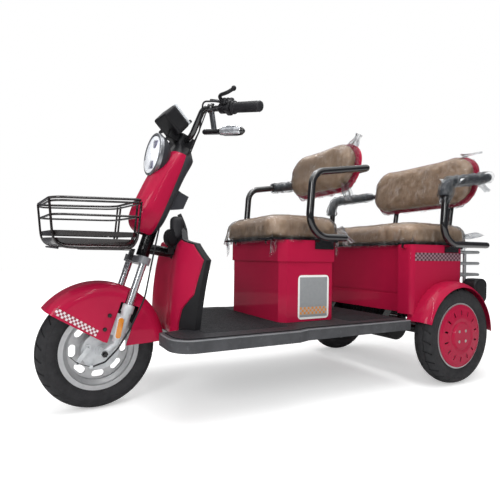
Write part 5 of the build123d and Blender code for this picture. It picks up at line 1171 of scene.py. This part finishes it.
def oval(name, length, width, depth, place):
    """A round-ended plate, long in the place's Y and thick in its Z, with softened edges."""
    made = primitive("cylinder", name, vertices=40, radius=width / 2, depth=depth)
    with editing(made):
        for end in (-1, 1):
            pick(made, "VERT", lambda middle: middle.y * end > 1e-4)
            bpy.ops.transform.translate(value=(0, end * (length - width) / 2, 0))
        pick(made, "FACE", lambda middle: abs(abs(middle.z) - depth / 2) < 1e-5)
        bpy.ops.mesh.bevel(offset=depth * 0.3, segments=3)
    settle(made, place)
    return made


def fork_reflectors():
    """Oval amber reflector in a pale rim, low on the outside of each slider."""
    rims, lenses = [], []
    for side in (-1, 1):
        lean = Matrix.Rotation(math.radians(-8), 4, "Y") @ Matrix.Rotation(math.pi / 2, 4, "X")
        place = FORK @ Matrix.Translation((-0.0300, side * 0.0955, 0.0960)) @ lean
        rims.append(oval(f"reflector_rim_{side}", 0.078, 0.027, 0.007, place))
        lift = Matrix.Translation((0, 0, -side * 0.0030))
        lenses.append(oval(f"reflector_{side}", 0.070, 0.019, 0.005, place @ lift))
    dress(joined("fork_reflector_rims", rims), "steering", CAST, 35)
    dress(joined("fork_reflectors", lenses), "steering", AMBER, 35)


def neck_loom():
    """Rubber boot over the wiring at the neck, with a smooth hose for the corrugated loom that runs down beside the
    horn.
    """
    boot = rounded("neck_boot", (0.046, 0.045, 0.085), (-0.490, -0.045, 0.638), 0.018, 5)
    loom = wire("neck_hose", [(-0.478, -0.040, 0.690), (-0.460, -0.042, 0.655), (-0.448, -0.044, 0.607),
                              (-0.464, -0.044, 0.572)], 0.016, resolution=14)
    dress(joined("neck_loom", [boot, loom]), "root", RUBBER, 40)


def tail_lenses():
    """Ruby lens on the rear face of each tail lamp."""
    lenses = [rounded(f"tail_lens_{side}", (0.007, 0.046, 0.054), (0.8575, side * 0.346, 0.386), 0.003)
              for side in (-1, 1)]
    dress(joined("tail_lenses", lenses), "root", RUBY, 35)


guard_bolts()
hub_bolts()
mat_ribs()
tray_lip()
fork_reflectors()
neck_loom()
tail_lenses()


# ---------------------------------------------------------------- studio
def camera():
    """Low three-quarter view from the left front."""
    yaw, pitch, roll = math.radians(24.85), math.radians(0.73), math.radians(0.58)
    look = Vector((math.sin(yaw) * math.cos(pitch), math.cos(yaw) * math.cos(pitch), -math.sin(pitch)))
    right = Vector((math.cos(yaw), -math.sin(yaw), 0))
    up = right.cross(look)
    across = math.cos(roll) * right + math.sin(roll) * up
    over = math.cos(roll) * up - math.sin(roll) * right
    data = bpy.data.cameras.new("camera")
    data.sensor_width = 36.0
    data.lens = 27.32
    data.shift_x = 0.0896
    data.shift_y = 0.023
    made = bpy.data.objects.new("camera", data)
    turn = Matrix((across, over, -look)).transposed().to_4x4()
    made.matrix_world = Matrix.Translation((-0.9855, -1.3724, 0.5322)) @ turn
    bpy.context.scene.collection.objects.link(made)
    bpy.context.scene.camera = made


def softbox(name, place, target, width, length, power, colour="#FFFFFF"):
    data = bpy.data.lights.new(name, "AREA")
    data.shape = "RECTANGLE"
    data.size = width
    data.size_y = length
    data.energy = power
    data.color = hex_colour(colour)[:3]
    made = bpy.data.objects.new(name, data)
    made.location = place
    made.rotation_mode = "QUATERNION"
    made.rotation_quaternion = (Vector(place) - Vector(target)).to_track_quat("Z", "Y")
    bpy.context.scene.collection.objects.link(made)


def studio():
    """White paper floor, white surroundings, a grey screen round the set that only gloss mirrors, and lamps."""
    world = bpy.data.worlds.new("studio")
    world.use_nodes = True
    tree = world.node_tree
    tree.nodes.clear()
    path = add(tree, "ShaderNodeLightPath")
    seen = add(tree, "ShaderNodeMath", {0: path.outputs["Is Camera Ray"], 1: path.outputs["Is Glossy Ray"]},
               operation="MAXIMUM")
    seen = add(tree, "ShaderNodeMath", {0: seen, 1: path.outputs["Is Transmission Ray"]}, operation="MAXIMUM")
    strength = add(tree, "ShaderNodeMapRange", {"Value": seen, "To Min": 0.5, "To Max": 1.0})
    light = add(tree, "ShaderNodeBackground", {"Color": (1, 1, 1, 1), "Strength": strength})
    add(tree, "ShaderNodeOutputWorld", {"Surface": light})
    bpy.context.scene.world = world

    floor = primitive("plane", "studio_floor", size=24, location=(0, 0, -0.0005))
    made, tree, where = blank("matt_paper_white")
    tooth = add(tree, "ShaderNodeTexNoise", {"Vector": where, "Scale": 1 / 3})
    tint = add(tree, "ShaderNodeMix", {0: tooth.outputs["Fac"], 6: hex_colour("#F2F2F2"), 7: hex_colour("#F8F8F8")},
               data_type="RGBA")
    paper = add(tree, "ShaderNodeBsdfDiffuse", {"Color": tint.outputs[2]})
    away = add(tree, "ShaderNodeVectorMath", {0: where}, operation="LENGTH")
    lifted = add(tree, "ShaderNodeMapRange", {"Value": away.outputs["Value"], "From Min": 1800, "From Max": 6000,
                                              "To Min": 0.4, "To Max": 1.0})
    glow = add(tree, "ShaderNodeEmission", {"Color": (1, 1, 1, 1), "Strength": lifted})
    path = add(tree, "ShaderNodeLightPath")
    lit = add(tree, "ShaderNodeAddShader", {0: paper, 1: glow})
    lift = add(tree, "ShaderNodeMixShader", {0: path.outputs["Is Camera Ray"], 1: paper, 2: lit})
    add(tree, "ShaderNodeOutputMaterial", {"Surface": lift})
    floor.data.materials.append(made)

    screen = primitive("cylinder", "studio_screen", vertices=48, radius=4.2, depth=3.0, end_fill_type="NOTHING",
                       location=(0, 0, 1.5))
    made, tree, where = blank("grey_felt_screen")
    nap = add(tree, "ShaderNodeTexNoise", {"Vector": where, "Scale": 1 / 40})
    tint = add(tree, "ShaderNodeMix", {0: nap.outputs["Fac"], 6: hex_colour("#55555A"), 7: hex_colour("#5C5C60")},
               data_type="RGBA")
    add(tree, "ShaderNodeOutputMaterial", {"Surface": add(tree, "ShaderNodeEmission", {"Color": tint.outputs[2]})})
    screen.data.materials.append(made)
    screen.visible_camera = screen.visible_diffuse = screen.visible_shadow = screen.visible_transmission = False

    softbox("overhead", (-0.2, -0.3, 3.2), (0, 0, 0.4), 2.2, 2.8, 56)
    softbox("front_left", (-2.8, -2.2, 1.9), (-0.1, 0, 0.5), 1.1, 1.4, 42)
    softbox("strip_near", (-0.4, -1.9, 2.4), (0, 0, 0.6), 0.09, 3.2, 16)
    softbox("strip_far", (0.2, 0.9, 2.9), (0, 0, 0.6), 0.09, 3.6, 14)
    bpy.context.scene.view_settings.view_transform = "Standard"


camera()
studio()
